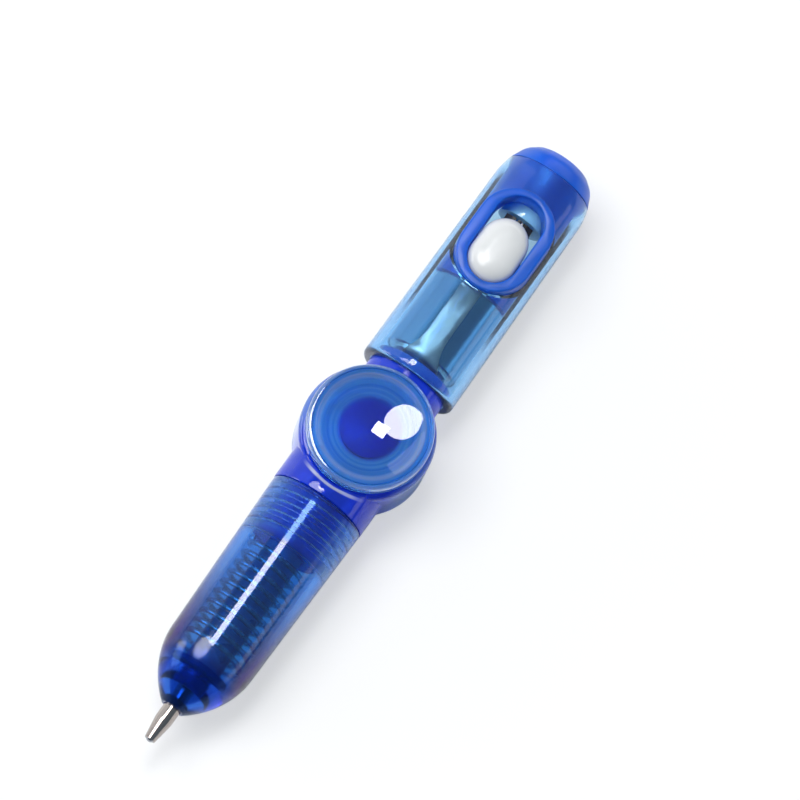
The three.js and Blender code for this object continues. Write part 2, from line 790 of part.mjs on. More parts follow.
// Contact strip: foot plate against the first cell, a run along the sleeve and a blade under the slider
function contactStrip() {
  const half = stripThickness / 2;
  const run = stripRunHeight + half;
  const bendX = cellStackEnd + contactGap + half;
  const footX = footPlateX + half;
  const blade = bentStrip([
    [footX, 0],
    [footX, run - stripThickness],
    [footX + stripThickness, run],
    [bendX, run],
    [bendX + stripDropLength, bladeHeight],
    [bendX + stripDropLength + stripBladeLength, bladeHeight],
  ], stripThickness, stripFootWidth);
  const flareEnd = cellStackStart + stripFlareLength;
  const farEnd = bendX + stripDropLength + stripBladeLength + cutReach;
  const plan = new THREE.Shape();
  plan.moveTo(footPlateX - cutReach, -stripFootWidth / 2);
  plan.lineTo(cellStackStart, -stripFootWidth / 2);
  plan.lineTo(flareEnd, -stripWidth / 2);
  plan.lineTo(farEnd, -stripWidth / 2);
  plan.lineTo(farEnd, stripWidth / 2);
  plan.lineTo(flareEnd, stripWidth / 2);
  plan.lineTo(cellStackStart, stripFootWidth / 2);
  plan.lineTo(footPlateX - cutReach, stripFootWidth / 2);
  const trimmed = blade.intersect(uprightPrism(plan, -frameTop, frameTop, 0));
  const plateHalf = stripFootPlateWidth / 2;
  const plateTop = run - 2 * stripThickness;
  const plate = block(
    footPlateX, footPlateX + stripThickness, -plateHalf, plateHalf, -stripFootDrop, plateTop,
  );
  return geometryFrom(joined(trimmed, plate));
}

// Button cell: can with rounded edges and the smaller negative cap toward the hub
function buttonCell(index) {
  const start = cellStackStart + index * cellThickness;
  const base = start + cellCapHeight;
  const end = start + cellThickness - contactGap;
  const e = cellEdgeRound;
  return geometryFrom(turnedAlongX([
    [start, 0],
    [start, cellCapRadius],
    [base, cellCapRadius],
    [base, cellRadius - e],
    [base + e, cellRadius],
    [end - e, cellRadius],
    [end, cellRadius - e],
    [end, 0],
  ], middleSides)).translate(0, 0, -cellDrop);
}

function cellSleeve() {
  const inner = cellRadius + sleeveGap;
  const outer = sleeveRadius;
  const from = cellStackStart + cellCapHeight;
  return geometryFrom(turnedAlongX([
    [from, inner],
    [from, outer],
    [cellStackEnd, outer],
    [cellStackEnd, inner],
    [from, inner],
  ], middleSides)).translate(0, 0, -cellDrop);
}

// Diode body: flange, straight body and domed end, with two blind holes for its leads
function ledLens() {
  const domeStart = ledEnd - ledRadius;
  const body = turnedAlongX([
    [ledBase, 0],
    [ledBase, ledFlangeRadius],
    [ledBase + ledFlangeThickness, ledFlangeRadius],
    [ledBase + ledFlangeThickness, ledRadius],
    ...quarterRound([domeStart, ledRadius], [ledEnd, 0], true),
  ], middleSides);
  const half = leadWidth / 2 + fitGap;
  const hole = (side) => block(
    ledBase - cutReach, ledBase + leadInLens + fitGap, -half, half,
    side * leadSpread / 2 - half, side * leadSpread / 2 + half,
  );
  return geometryFrom(cutBy(body, hole(1), hole(-1)));
}

function ledCathode() {
  const height = leadSpread / 2;
  const step = spacerStart - leadWidth;
  return geometryFrom(bentStrip([
    [ledBase + leadInLens, height],
    [step, height],
    [step - leadWidth, cathodeHeight],
    [step - cathodeReach, cathodeHeight],
  ], leadWidth, leadWidth));
}

function ledAnode() {
  const height = -leadSpread / 2;
  const faceX = cellStackEnd + contactGap * 1.5 + leadWidth / 2;
  const lowRun = height - 2 * leadWidth;
  const step = spacerStart - leadWidth;
  return geometryFrom(bentStrip([
    [ledBase + leadInLens, height],
    [step, height],
    [step - leadWidth, lowRun],
    [faceX + leadWidth, lowRun],
    [faceX, lowRun + leadWidth],
    [faceX, lowRun + 2 * leadWidth],
  ], leadWidth, leadWidth));
}

// Finishes: colour, roughness and metalness
function finish(color, roughness, metalness) {
  return new THREE.MeshStandardMaterial({ color, roughness, metalness });
}

const hubBlue = finish(0x1a2fd0, 0.25, 0);
const padBlue = finish(0x3f86e0, 0.15, 0);
const noseBlue = finish(0x3c74c4, 0.15, 0);
const barrelBlue = finish(0x7db4ea, 0.15, 0);
const capBlue = finish(0x1f55d6, 0.25, 0);
const adapterBlue = finish(0x14306e, 0.4, 0);
const inkBlue = finish(0x101a5a, 0.3, 0);
const tubeClear = finish(0xc8d4e6, 0.3, 0);
const buttonWhite = finish(0xf0f0ee, 0.35, 0);
const sliderBlack = finish(0x17181c, 0.5, 0);
const springSteel = finish(0xb9bec6, 0.25, 1);
const pointNickel = finish(0xc9c3bb, 0.2, 1);
const stripSilver = finish(0xc4cad2, 0.3, 1);
const cellSteel = finish(0xcfd3d8, 0.25, 1);
const sleeveFilm = finish(0x9cc4ee, 0.2, 0);
const ledClear = finish(0xe6f0fa, 0.1, 0);
const leadTin = finish(0xc2c4c6, 0.35, 1);

// Assembly
const pen = new THREE.Group();

function addPiece(name, geometry, material) {
  const mesh = new THREE.Mesh(geometry, material);
  mesh.name = name;
  pen.add(mesh);
}

addPiece('hub_body', hubBody(), hubBlue);
addPiece('top_finger_pad', topFingerPad(), padBlue);
addPiece('bottom_finger_pad', bottomFingerPad(), padBlue);
addPiece('pad_axle', padAxle(), hubBlue);
addPiece('nose_barrel', noseBarrel(), noseBlue);
addPiece('nose_spring', noseSpring(), springSteel);
addPiece('refill_tube', refillTube(), tubeClear);
addPiece('ink_column', inkColumn(), inkBlue);
addPiece('refill_adapter', refillAdapter(), adapterBlue);
addPiece('refill_tip', refillTip(), pointNickel);
addPiece('writing_ball', writingBall(), springSteel);
addPiece('light_barrel', lightBarrel(), barrelBlue);
addPiece('end_cap', endCap(), capBlue);
addPiece('switch_button', switchButton(), buttonWhite);
addPiece('switch_slider', switchSlider(), sliderBlack);
addPiece('contact_strip', contactStrip(), stripSilver);
for (let index = 0; index < cellCount; index += 1) {
  addPiece(`cell_${index + 1}`, buttonCell(index), cellSteel);
}
addPiece('cell_sleeve', cellSleeve(), sleeveFilm);
addPiece('led_lens', ledLens(), ledClear);
addPiece('led_spacer', ledSpacer(), sliderBlack);
addPiece('led_cathode', ledCathode(), leadTin);
addPiece('led_anode', ledAnode(), leadTin);

// Stand the pen on its lower pad, with the middle of its length over the origin
pen.position.set(-(capEnd + tipEnd) / 2, 0, padTop);

export default pen;
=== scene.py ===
import math

import bmesh
import bpy
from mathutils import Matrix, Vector


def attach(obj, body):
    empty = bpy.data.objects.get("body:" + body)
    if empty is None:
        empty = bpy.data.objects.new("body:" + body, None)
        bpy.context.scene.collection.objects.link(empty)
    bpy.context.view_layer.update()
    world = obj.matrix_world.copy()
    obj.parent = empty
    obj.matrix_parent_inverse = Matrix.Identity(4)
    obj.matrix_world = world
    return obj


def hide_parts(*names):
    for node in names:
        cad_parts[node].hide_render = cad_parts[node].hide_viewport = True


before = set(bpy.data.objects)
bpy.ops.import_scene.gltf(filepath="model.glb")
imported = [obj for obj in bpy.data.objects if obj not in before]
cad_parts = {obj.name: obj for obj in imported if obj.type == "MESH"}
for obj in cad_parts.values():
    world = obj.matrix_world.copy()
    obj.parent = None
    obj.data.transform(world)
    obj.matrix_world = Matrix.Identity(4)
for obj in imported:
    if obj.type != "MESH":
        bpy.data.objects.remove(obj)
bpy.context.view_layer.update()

# Sizes are in millimetres from the hub's centre: +X to the light end, +Z along the spin axis
MM = 0.001
HUB_X = 0.765
HUB_Z = 4.57
SAME_SPOT = 0.001
QUARTER_TURN = math.pi / 2
FULL_TURN = 2 * math.pi

# Sides of the round pieces
FINE = 112
BUTTON_SIDES = 96
CAN_SIDES = 80
TRACK_SIDES = 72
PLAIN = 64
POINT_SIDES = 48
THREAD_SIDES = 48
SMALL = 40
COIL_SIDES = 32
WIRE_SIDES = 12

HUB_RADIUS = 5.07
HUB_HALF = 2.85
COLLAR_RADIUS = 3.83
COLLAR_END = -6.10
AXLE_BORE = 2.22
WELL_RADIUS = 1.6
WELL_END = -4.85
WELL_MOUTH = -12
PAST_HUB = 7
PAD_RADIUS = 4.71
PAD_UNDER = 3.05
PAD_TOP = 4.57
PAD_SPACE = PAD_RADIUS + 0.2
LEDGE_START = 3.57
LEDGE_END = 4
LEDGE_RISE = 0.85
RIM_INNER = 3.97
DISH_DEPTH = 0.95
GROOVE_RADIUS = 4.38
GROOVE_DEPTH = 0.05
GROOVE_WIDTH = 0.08
AXLE_RADIUS = 2.14
AXLE_END = 3.35
PIN_SOCKET = 2.19
PIN_SOCKET_TOP = 3.40

NOSE_START = -6.15
NOSE_END = -24.55
NOSE_RADIUS = 3.80
NOSE_MOUTH = 1.5
DOME_START = -19.38
DOME_RADIUS = 3.52
DOME_REACH = 5.75
STUB_END = -10.30
STUB_ROOT = 2.72
NOSE_BORE = 2.82
RELIEF_RADIUS = 3.16
SPRING_BORE = 2.90
THREAD_HEIGHT = 0.30
PITCH = 0.88
SPRING_START = -11.25
SPRING_TURNS = 10
SPRING_RADIUS = 2.45
WIRE = 0.20
TAIL_BEND = 0.25
FLANGE_BACK = -21.00
FLANGE_FRONT = -21.5
FLANGE_RADIUS = 2.3
FLANGE_SEAT = -21.8
SEAT_RADIUS = 2.39
ADAPTER_END = -22.6
ADAPTER_RADIUS = 1.35
ADAPTER_SEAT = -22.9
SEAT_CONE_END = -23.67
POINT_HOLE = 0.73
POINT_BACK = FLANGE_BACK + 1.2
POINT_RADIUS = 0.68
POINT_CONE = 1.7
POINT_MOUTH = 0.42
POINT_SOCKET = 0.38
POINT_LIP = -0.17
INK_HOLE = 0.25
TIP_END = -27.57
BALL_RADIUS = 0.35
TUBE_FRONT = FLANGE_BACK + 0.05
TUBE_BACK = TUBE_FRONT + 15.8
TUBE_RADIUS = 1.5
TUBE_BORE = 1.05
INK_START = TUBE_FRONT + 1.25
INK_RADIUS = 1.0

BARREL_START = 5.45
BARREL_END = 24.15
BARREL_BORE = 3.25
BARREL_RADIUS = 3.90
SHOULDER = BARREL_END - 0.95
SHOULDER_RADIUS = 3.74
BARREL_END_RADIUS = 3.52
PLUG_START = 0.5
PLUG_RADIUS = 3.20
PLUG_END = 6.50
CELLS_START = 7.05
CELL = 2.15
CELL_RADIUS = 2.90
CELL_BASE = 0.25
CELL_BASE_RADIUS = 2.35
CELL_GAP = 0.1
CELL_DROP = 0.20
SLEEVE_BORE = 2.92
SLEEVE_RADIUS = 3.02
FRAME_CENTRE = 17.60
FRAME_LENGTH = 8.47
FRAME_WIDTH = 5.93
FRAME_TOP = 4.10
WINDOW_GAP = 0.1
SLOT_CENTRE = 17.65
SLOT_LENGTH = 7.20
SLOT_WIDTH = 3.90
PAST_FRAME = 6
TONGUE_BORE = 2.55
CELL_SPACE_END = 13.6
NOTCH_END = 14.35
NOTCH_HALF = 1.1
NOTCH_TOP = 3.2
CAP_START = 24.20
CAP_RADIUS = 3.5
CAP_CONE_END = CAP_START + 1.15
CAP_CONE_RADIUS = 3.0
CAP_END = 26.04
CAP_END_RADIUS = 2.2
CAP_PLUG_START = 21.30
OVERLAP = 0.05
LED_BASE = 20.34
LED_END = 25.64
LED_RADIUS = 1.5
LED_BORE = 1.56
LED_COLLAR = 1
LED_COLLAR_RADIUS = 1.9
LED_POCKET = 1.05
LED_POCKET_RADIUS = 1.96
BEFORE_LED = 20
PAST_CAP = 27
LEAD_OFFSET = 0.641
LEAD_HALF = 0.275
LEAD_DEPTH = 2.45
BUTTON_START = 14.13
BUTTON_LENGTH = 5.25
BUTTON_WIDTH = 3.80
BUTTON_TOP = 4.45
BUTTON_DOME = 0.95
BUTTON_ROUNDING = 1.5
BUTTON_TAPER = 0.08
BUTTON_UNDER = 2.65
SLIDER_TOP = 1.33
SLIDER_END = 17.45
NECK_LENGTH = 2.3
NECK_HALF = 1.5
STRIP_FOOT = 6.775
STRIP_THICKNESS = 0.14
STRIP_LOW = 0.79
STRIP_HALF = 0.8
BARREL_CURVE = 3.2


def place(x, y, z):
    """A point given in millimetres from the hub's centre, in the pen's frame in metres."""
    return Vector(((x + HUB_X) * MM, y * MM, (z + HUB_Z) * MM))


def only(piece):
    bpy.ops.object.select_all(action="DESELECT")
    piece.select_set(True)
    bpy.context.view_layer.objects.active = piece


def added(add, **settings):
    """Adds an object with nothing else selected."""
    bpy.ops.object.select_all(action="DESELECT")
    add(**settings)
    return bpy.context.object


def open_up(piece):
    only(piece)
    bpy.ops.object.mode_set(mode="EDIT")
    bpy.ops.mesh.select_mode(type="VERT")


def close_up():
    bpy.ops.object.mode_set(mode="OBJECT")


def select_whole():
    bpy.ops.mesh.select_all(action="SELECT")


def merge_doubles():
    select_whole()
    bpy.ops.mesh.remove_doubles(threshold=SAME_SPOT * MM)


def face_outward():
    select_whole()
    bpy.ops.mesh.normals_make_consistent(inside=False)


def settle(piece, name):
    """Names a piece and moves its place, turn and scale into its mesh."""
    piece.name = name
    piece.data.name = name
    only(piece)
    bpy.ops.object.transform_apply(location=True, rotation=True, scale=True)


def apply_step(piece, step):
    only(piece)
    bpy.ops.object.modifier_apply(modifier=step.name)


def first_point(name, point):
    """Starts a drawing in edit mode with one vertex at the point."""
    piece = added(bpy.ops.mesh.primitive_plane_add, size=MM, location=point)
    settle(piece, name)
    open_up(piece)
    select_whole()
    bpy.ops.mesh.merge(type="CENTER")
    return piece


def draw_on(points):
    """Draws from the last vertex through the points, one extruded edge after another."""
    here = points[0]
    for there in points[1:]:
        bpy.ops.mesh.extrude_vertices_move(TRANSFORM_OT_translate={"value": there - here})
        here = there


def steady(outline):
    """Adds a point near each end of a long straight run, so that its rounded corners don't shade all of it."""
    long_run = 2.5
    from_end = 0.8
    points = [outline[0]]
    for start, end in zip(outline, outline[1:]):
        length = math.dist(start, end)
        if length > long_run:
            for share in (from_end / length, 1 - from_end / length):
                points.append(tuple(a + (b - a) * share for a, b in zip(start, end)))
        points.append(end)
    return points


def turned(name, outline, axis="X", sides=FINE):
    """Draws half a section as [along, radius] points and spins it round the pen's axis or the spin axis."""
    outline = steady(outline)
    if axis == "X":
        points = [place(along, 0, radius) for along, radius in outline]
        turn_axis = (1, 0, 0)
    else:
        points = [place(radius, 0, along) for along, radius in outline]
        turn_axis = (0, 0, 1)
    piece = first_point(name, points[0])
    draw_on(points)
    select_whole()
    bpy.ops.mesh.spin(steps=sides, angle=FULL_TURN, center=place(0, 0, 0), axis=turn_axis)
    merge_doubles()
    face_outward()
    close_up()
    return piece


def rod(name, start, end, radius, axis="X", sides=FINE):
    return turned(name, [(start, 0), (start, radius), (end, radius), (end, 0)], axis, sides)


def hollow_rod(name, start, end, bore, radius, sides):
    return turned(name, [(start, bore), (start, radius), (end, radius), (end, bore), (start, bore)], "X", sides)


def pick(piece, kind, chosen):
    """Opens a piece with only the chosen vertices, edges or faces selected."""
    open_up(piece)
    bpy.ops.mesh.select_mode(type=kind)
    bpy.ops.mesh.select_all(action="DESELECT")
    mesh = bmesh.from_edit_mesh(piece.data)
    for part in {"VERT": mesh.verts, "EDGE": mesh.edges, "FACE": mesh.faces}[kind]:
        part.select = chosen(part)
    if kind == "VERT":
        mesh.select_flush_mode()
    bmesh.update_edit_mesh(piece.data)


def round_edges(piece, chosen, width, segments):
    """Rounds the edges whose two ends are both chosen."""
    pick(piece, "EDGE", lambda edge: all(chosen(vertex) for vertex in edge.verts))
    bpy.ops.mesh.bevel(offset=width * MM, segments=segments, profile=0.5, affect="EDGES")
    close_up()


def near_ring(vertex, axis, along, radius):
    near = 0.004 * MM
    spot = vertex.co - place(0, 0, 0)
    if axis == "X":
        found = (spot.x, math.hypot(spot.y, spot.z))
    else:
        found = (spot.z, math.hypot(spot.x, spot.y))
    return abs(found[0] - along * MM) < near and abs(found[1] - radius * MM) < near


def soften(piece, axis, corners, segments=4):
    """Rounds the circular edges at each [along, radius] by a width."""
    for along, radius, width in corners:
        round_edges(piece, lambda vertex: near_ring(vertex, axis, along, radius), width, segments)


def combine(piece, tool, operation):
    """Joins, cuts or keeps the overlap of a piece with a tool, and clears the tool away."""
    step = piece.modifiers.new("combine", "BOOLEAN")
    step.operation = operation
    step.object = tool
    step.solver = "MANIFOLD"
    apply_step(piece, step)
    bpy.data.objects.remove(tool, do_unlink=True)


def join(piece, *tools):
    for tool in tools:
        combine(piece, tool, "UNION")


def cut(piece, *tools):
    for tool in tools:
        combine(piece, tool, "DIFFERENCE")


def block(name, x0, x1, half_width, z0, z1):
    centre = place((x0 + x1) / 2, 0, (z0 + z1) / 2)
    piece = added(bpy.ops.mesh.primitive_cube_add, size=1, location=centre)
    piece.scale = Vector((x1 - x0, 2 * half_width, z1 - z0)) * MM
    settle(piece, name)
    return piece


def racetrack(name, centre_x, length, width, z0, z1, sides=TRACK_SIDES):
    """Adds a cylinder and pulls its two halves apart along the pen."""
    piece = added(
        bpy.ops.mesh.primitive_cylinder_add,
        vertices=sides, radius=width * MM / 2, depth=(z1 - z0) * MM,
        location=place(centre_x, 0, (z0 + z1) / 2), rotation=(0, 0, math.pi / sides),
    )
    settle(piece, name)
    middle = place(centre_x, 0, 0).x
    for side in (1, -1):
        pick(piece, "VERT", lambda vertex: (vertex.co.x - middle) * side > 0)
        bpy.ops.transform.translate(value=(side * (length - width) * MM / 2, 0, 0))
        close_up()
    return piece


def screw_round(piece, pitch, turns, steps, merged):
    """Screws a drawn outline round the pen's axis."""
    screw = piece.modifiers.new("screw", "SCREW")
    screw.axis = "X"
    screw.object = pen_axis
    screw.angle = FULL_TURN
    screw.screw_offset = pitch * MM
    screw.iterations = turns
    screw.steps = screw.render_steps = steps
    screw.use_merge_vertices = merged
    screw.merge_threshold = SAME_SPOT * MM
    apply_step(piece, screw)


def threaded(name, start, end, root, half_base, half_crest):
    """A threaded rod: one pitch of its flank is screwed round, then the ends are cut flat and closed."""
    crest = root + THREAD_HEIGHT
    outline = [
        (-PITCH / 2, root), (-half_base, root), (-half_crest, crest), (half_crest, crest),
        (half_base, root), (PITCH / 2, root),
    ]
    first = STUB_END - 2 * PITCH
    turns = math.ceil((end - first) / PITCH) + 2
    points = [place(first + along, radius, 0) for along, radius in outline]
    piece = first_point(name, points[0])
    draw_on(points)
    close_up()
    screw_round(piece, PITCH, turns, THREAD_SIDES, True)
    for along, clear_inner, clear_outer in ((start, True, False), (end, False, True)):
        open_up(piece)
        merge_doubles()
        select_whole()
        bpy.ops.mesh.bisect(
            plane_co=place(along, 0, 0), plane_no=(1, 0, 0), use_fill=True,
            clear_inner=clear_inner, clear_outer=clear_outer, threshold=SAME_SPOT / 10 * MM,
        )
        close_up()
    open_up(piece)
    face_outward()
    close_up()
    return piece


def finish_piece(piece, body, finish, node, angle=35):
    """Smooths a piece, gives it its finish, and sets it on its body in place of its solid."""
    only(piece)
    bpy.ops.object.shade_smooth_by_angle(angle=math.radians(angle))
    piece.data.materials.clear()
    piece.data.materials.append(finish.material)
    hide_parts(node)
    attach(piece, body)


# Materials

PLASTIC_IOR = 1.49
LENS_IOR = 1.54
WHITE = (1.0, 1.0, 1.0)


class Finish:
    """One material, and the steps that build up its nodes."""

    def __init__(self, name):
        self.material = bpy.data.materials.new(name)
        self.material.use_nodes = True
        self.nodes = self.material.node_tree.nodes
        self.links = self.material.node_tree.links
        self.shader = self.nodes["Principled BSDF"]

    def feed(self, socket, source):
        """Links an output to a socket, or gives the socket a number or a colour of its own."""
        if isinstance(source, bpy.types.NodeSocket):
            self.links.new(source, socket)
        elif socket.type == "RGBA":
            socket.default_value = (*source, 1)
        else:
            socket.default_value = source

    def put(self, name, source):
        """Feeds one of the shader's own sockets."""
        self.feed(self.shader.inputs[name], source)

    def base_colour(self):
        return self.shader.inputs["Base Color"].links[0].from_socket

    def point(self):
        return self.nodes.new("ShaderNodeTexCoord").outputs["Object"]

    def split(self, point):
        parts = self.nodes.new("ShaderNodeSeparateXYZ")
        self.links.new(point, parts.inputs["Vector"])
        return parts.outputs

    def worked(self, operation, *sources):
        """A sum on one or two numbers."""
        step = self.nodes.new("ShaderNodeMath")
        step.operation = operation
        for socket, source in zip(step.inputs, sources):
            self.feed(socket, source)
        return step.outputs["Value"]

    def point_worked(self, operation, *sources):
        """A sum on one or two points."""
        step = self.nodes.new("ShaderNodeVectorMath")
        step.operation = operation
        for socket, source in zip(step.inputs, sources):
            self.feed(socket, source)
        return step.outputs["Value" if operation == "LENGTH" else "Vector"]

    def from_hub(self):
        """The point measured from the hub's centre."""
        return self.point_worked("SUBTRACT", self.point(), place(0, 0, 0))

    def distance_from(self, axis):
        """Distance from the pen's axis or the spin axis at each point, in metres."""
        across = (0, 1, 1) if axis == "X" else (1, 1, 0)
        return self.point_worked("LENGTH", self.point_worked("MULTIPLY", self.from_hub(), across))

    def noise(self, scale, detail=3.0, stretch=None):
        grain = self.nodes.new("ShaderNodeTexNoise")
        grain.inputs["Scale"].default_value = scale
        grain.inputs["Detail"].default_value = detail
        point = self.point()
        if stretch:
            turn = self.nodes.new("ShaderNodeMapping")
            turn.inputs["Scale"].default_value = stretch
            self.links.new(point, turn.inputs["Vector"])
            point = turn.outputs["Vector"]
        self.links.new(point, grain.inputs["Vector"])
        return grain.outputs["Fac"]

    def mapped(self, source, start, end, low, high, smooth):
        reach = self.nodes.new("ShaderNodeMapRange")
        reach.interpolation_type = "SMOOTHSTEP" if smooth else "LINEAR"
        reach.inputs["From Min"].default_value = start
        reach.inputs["From Max"].default_value = end
        reach.inputs["To Min"].default_value = low
        reach.inputs["To Max"].default_value = high
        self.links.new(source, reach.inputs["Value"])
        return reach.outputs["Result"]

    def spread(self, noise, low, high):
        """Turns a noise into a value between low and high."""
        return self.mapped(noise, 0.3, 0.7, low, high, False)

    def blend(self, source, start, end, low, high, smooth=True):
        """Goes from low to high while the source goes from start to end, in millimetres."""
        return self.mapped(source, start * MM, end * MM, low, high, smooth)

    def ramp(self, source, stops, interpolation="LINEAR"):
        """Goes through the colours of (position, colour) stops."""
        node = self.nodes.new("ShaderNodeValToRGB")
        node.color_ramp.interpolation = interpolation
        for index, (position, colour) in enumerate(stops):
            if index > 1:
                node.color_ramp.elements.new(position)
            node.color_ramp.elements[index].position = position
            node.color_ramp.elements[index].color = (*colour, 1)
        self.links.new(source, node.inputs["Fac"])
        return node.outputs["Color"]

    def between(self, noise, one, other):
        return self.ramp(noise, ((0.35, one), (0.65, other)))

    def mixed(self, share, one, other):
        """Mixes two colours, each a colour or an output, by a share."""
        mix = self.nodes.new("ShaderNodeMix")
        mix.data_type = "RGBA"
        first, second, result = mix.inputs[6], mix.inputs[7], mix.outputs[2]
        self.links.new(share, mix.inputs["Factor"])
        self.feed(first, one)
        self.feed(second, other)
        return result

    def skin(self, noise, one, other, roughness, strength, distance):
        """Gives the surface a colour, a roughness and a bump from the same marks."""
        self.put("Base Color", self.between(noise, one, other))
        self.put("Roughness", self.spread(noise, *roughness))
        bump = self.nodes.new("ShaderNodeBump")
        bump.inputs["Strength"].default_value = strength
        bump.inputs["Distance"].default_value = distance * MM
        self.links.new(noise, bump.inputs["Height"])
        self.put("Normal", bump.outputs["Normal"])


def clear_plastic(name, surface, tint, density, roughness=(0.02, 0.06), ior=PLASTIC_IOR, clear=1.0):
    """Moulded clear plastic: a tinted body with slow flow marks in its polished skin."""
    finish = Finish(name)
    lighter = tuple(min(1.0, part * 1.04 + 0.01) for part in surface)
    finish.skin(finish.noise(420.0, 2.0), surface, lighter, roughness, 0.06, 0.05)
    finish.put("Transmission Weight", clear)
    finish.put("IOR", ior)
    body = finish.nodes.new("ShaderNodeVolumeAbsorption")
    body.inputs["Color"].default_value = (*tint, 1)
    body.inputs["Density"].default_value = density
    finish.links.new(body.outputs["Volume"], finish.nodes["Material Output"].inputs["Volume"])
    return finish


def solid_plastic(name, one, other, roughness, scale=600.0, bump=0.1):
    """Coloured plastic with a fine grain."""
    finish = Finish(name)
    finish.skin(finish.noise(scale), one, other, roughness, bump, 0.03)
    finish.put("IOR", PLASTIC_IOR)
    return finish


def bright_metal(name, one, other, roughness, scale=900.0, stretch=(1, 1, 1), bump=0.15):
    """Metal with fine drawn or pressed marks that run along one direction."""
    finish = Finish(name)
    finish.skin(finish.noise(scale, stretch=stretch), one, other, roughness, bump, 0.02)
    finish.put("Metallic", 1.0)
    return finish


# The X bands of the next materials are millimetres from the middle of the pen, as Object coordinates are

def make_hub_plastic():
    """Deep blue, paler at the disc's thin sides, with a painted highlight on one edge, brighter on the plug, deepest
    on the stub.
    """
    pale_side, painted_arc_highlight = (0.30, 0.52, 0.90), (0.90, 0.95, 1.0)
    plug_blue, stub_blue, stub_shine = (0.05, 0.30, 1.0), (0.004, 0.085, 0.95), (0.10, 0.35, 1.0)
    finish = clear_plastic(
        "deep_blue_hub", (0.005, 0.055, 0.75), (0.05, 0.35, 0.98), 150, (0.05, 0.10), clear=0.62,
    )
    parts = finish.split(finish.point())
    x = parts["X"]
    side = finish.worked("ABSOLUTE", parts["Y"])
    colour = finish.mixed(finish.blend(side, 3.6, 4.9, 0.0, 0.8), finish.base_colour(), pale_side)
    # Painted highlight: a pale arc on the disc's edge just past the pad, near the middle and on the nose side only
    distance = finish.distance_from("Z")
    edge = finish.worked(
        "MULTIPLY", finish.blend(distance, 5.02, 5.12, 0.0, 1.0), finish.blend(distance, 5.24, 5.36, 1.0, 0.0),
    )
    middle = finish.worked("MULTIPLY", edge, finish.blend(side, 1.5, 2.8, 1.0, 0.0))
    arc_highlight_share = finish.worked("MULTIPLY", middle, finish.blend(x, -1.0, 0.0, 1.0, 0.0))
    colour = finish.mixed(arc_highlight_share, colour, painted_arc_highlight)
    colour = finish.mixed(finish.blend(x, 6.3, 6.6, 0.0, 1.0), colour, plug_blue)
    nose_edge = NOSE_START + HUB_X
    stub = finish.blend(x, nose_edge - 0.05, nose_edge, 1.0, 0.0)
    finish.put("Base Color", finish.mixed(stub, colour, stub_blue))
    finish.put("Specular Tint", finish.mixed(stub, WHITE, stub_shine))
    return finish


def make_pad_plastic():
    """Clear light blue with round turning marks, painted highlights on the rims, painted shade over the axle pin,
    matt underneath.
    """
    dark_ring, light_ring = (0.025, 0.36, 0.90), (0.12, 0.60, 1.0)
    painted_rim_highlight, painted_pin_shade = (0.62, 0.90, 1.0), (0.09, 0.27, 1.0)
    # Painted highlights: pale rings at the rim's inner and outer edges
    bands = ((3.55, 0.0), (3.88, 0.75), (3.98, 0.75), (4.12, 0.0), (4.38, 0.0), (4.52, 0.65), (4.71, 0.65))
    reach = 5
    finish = clear_plastic("clear_blue_pad", (0.45, 0.72, 0.96), (0.15, 0.55, 0.98), 250)
    distance = finish.distance_from("Z")
    rings = finish.nodes.new("ShaderNodeTexNoise")
    rings.noise_dimensions = "1D"
    rings.inputs["Scale"].default_value = 2600.0
    rings.inputs["Detail"].default_value = 2.0
    finish.links.new(distance, rings.inputs["W"])
    colour = finish.between(rings.outputs["Fac"], dark_ring, light_ring)
    stops = [(radius / reach, (light, light, light)) for radius, light in bands]
    rim_highlights = finish.ramp(finish.blend(distance, 0, reach, 0.0, 1.0, smooth=False), stops, "EASE")
    colour = finish.mixed(rim_highlights, colour, painted_rim_highlight)
    # Painted shade: darker and less clear over the axle pin
    finish.put("Base Color", finish.mixed(finish.blend(distance, 2.1, 2.6, 1.0, 0.0), colour, painted_pin_shade))
    finish.put("Transmission Weight", finish.blend(distance, 2.1, 2.6, 1.0, 0.84))
    height = finish.worked("ABSOLUTE", finish.split(finish.from_hub())["Z"])
    finish.put("Roughness", finish.blend(height, 3.45, 3.55, 0.32, 0.03))
    finish.put("Coat Weight", finish.blend(height, 3.45, 3.55, 0.0, 1.0))
    finish.put("Coat IOR", 1.7)
    finish.put("Coat Roughness", 0.04)
    return finish


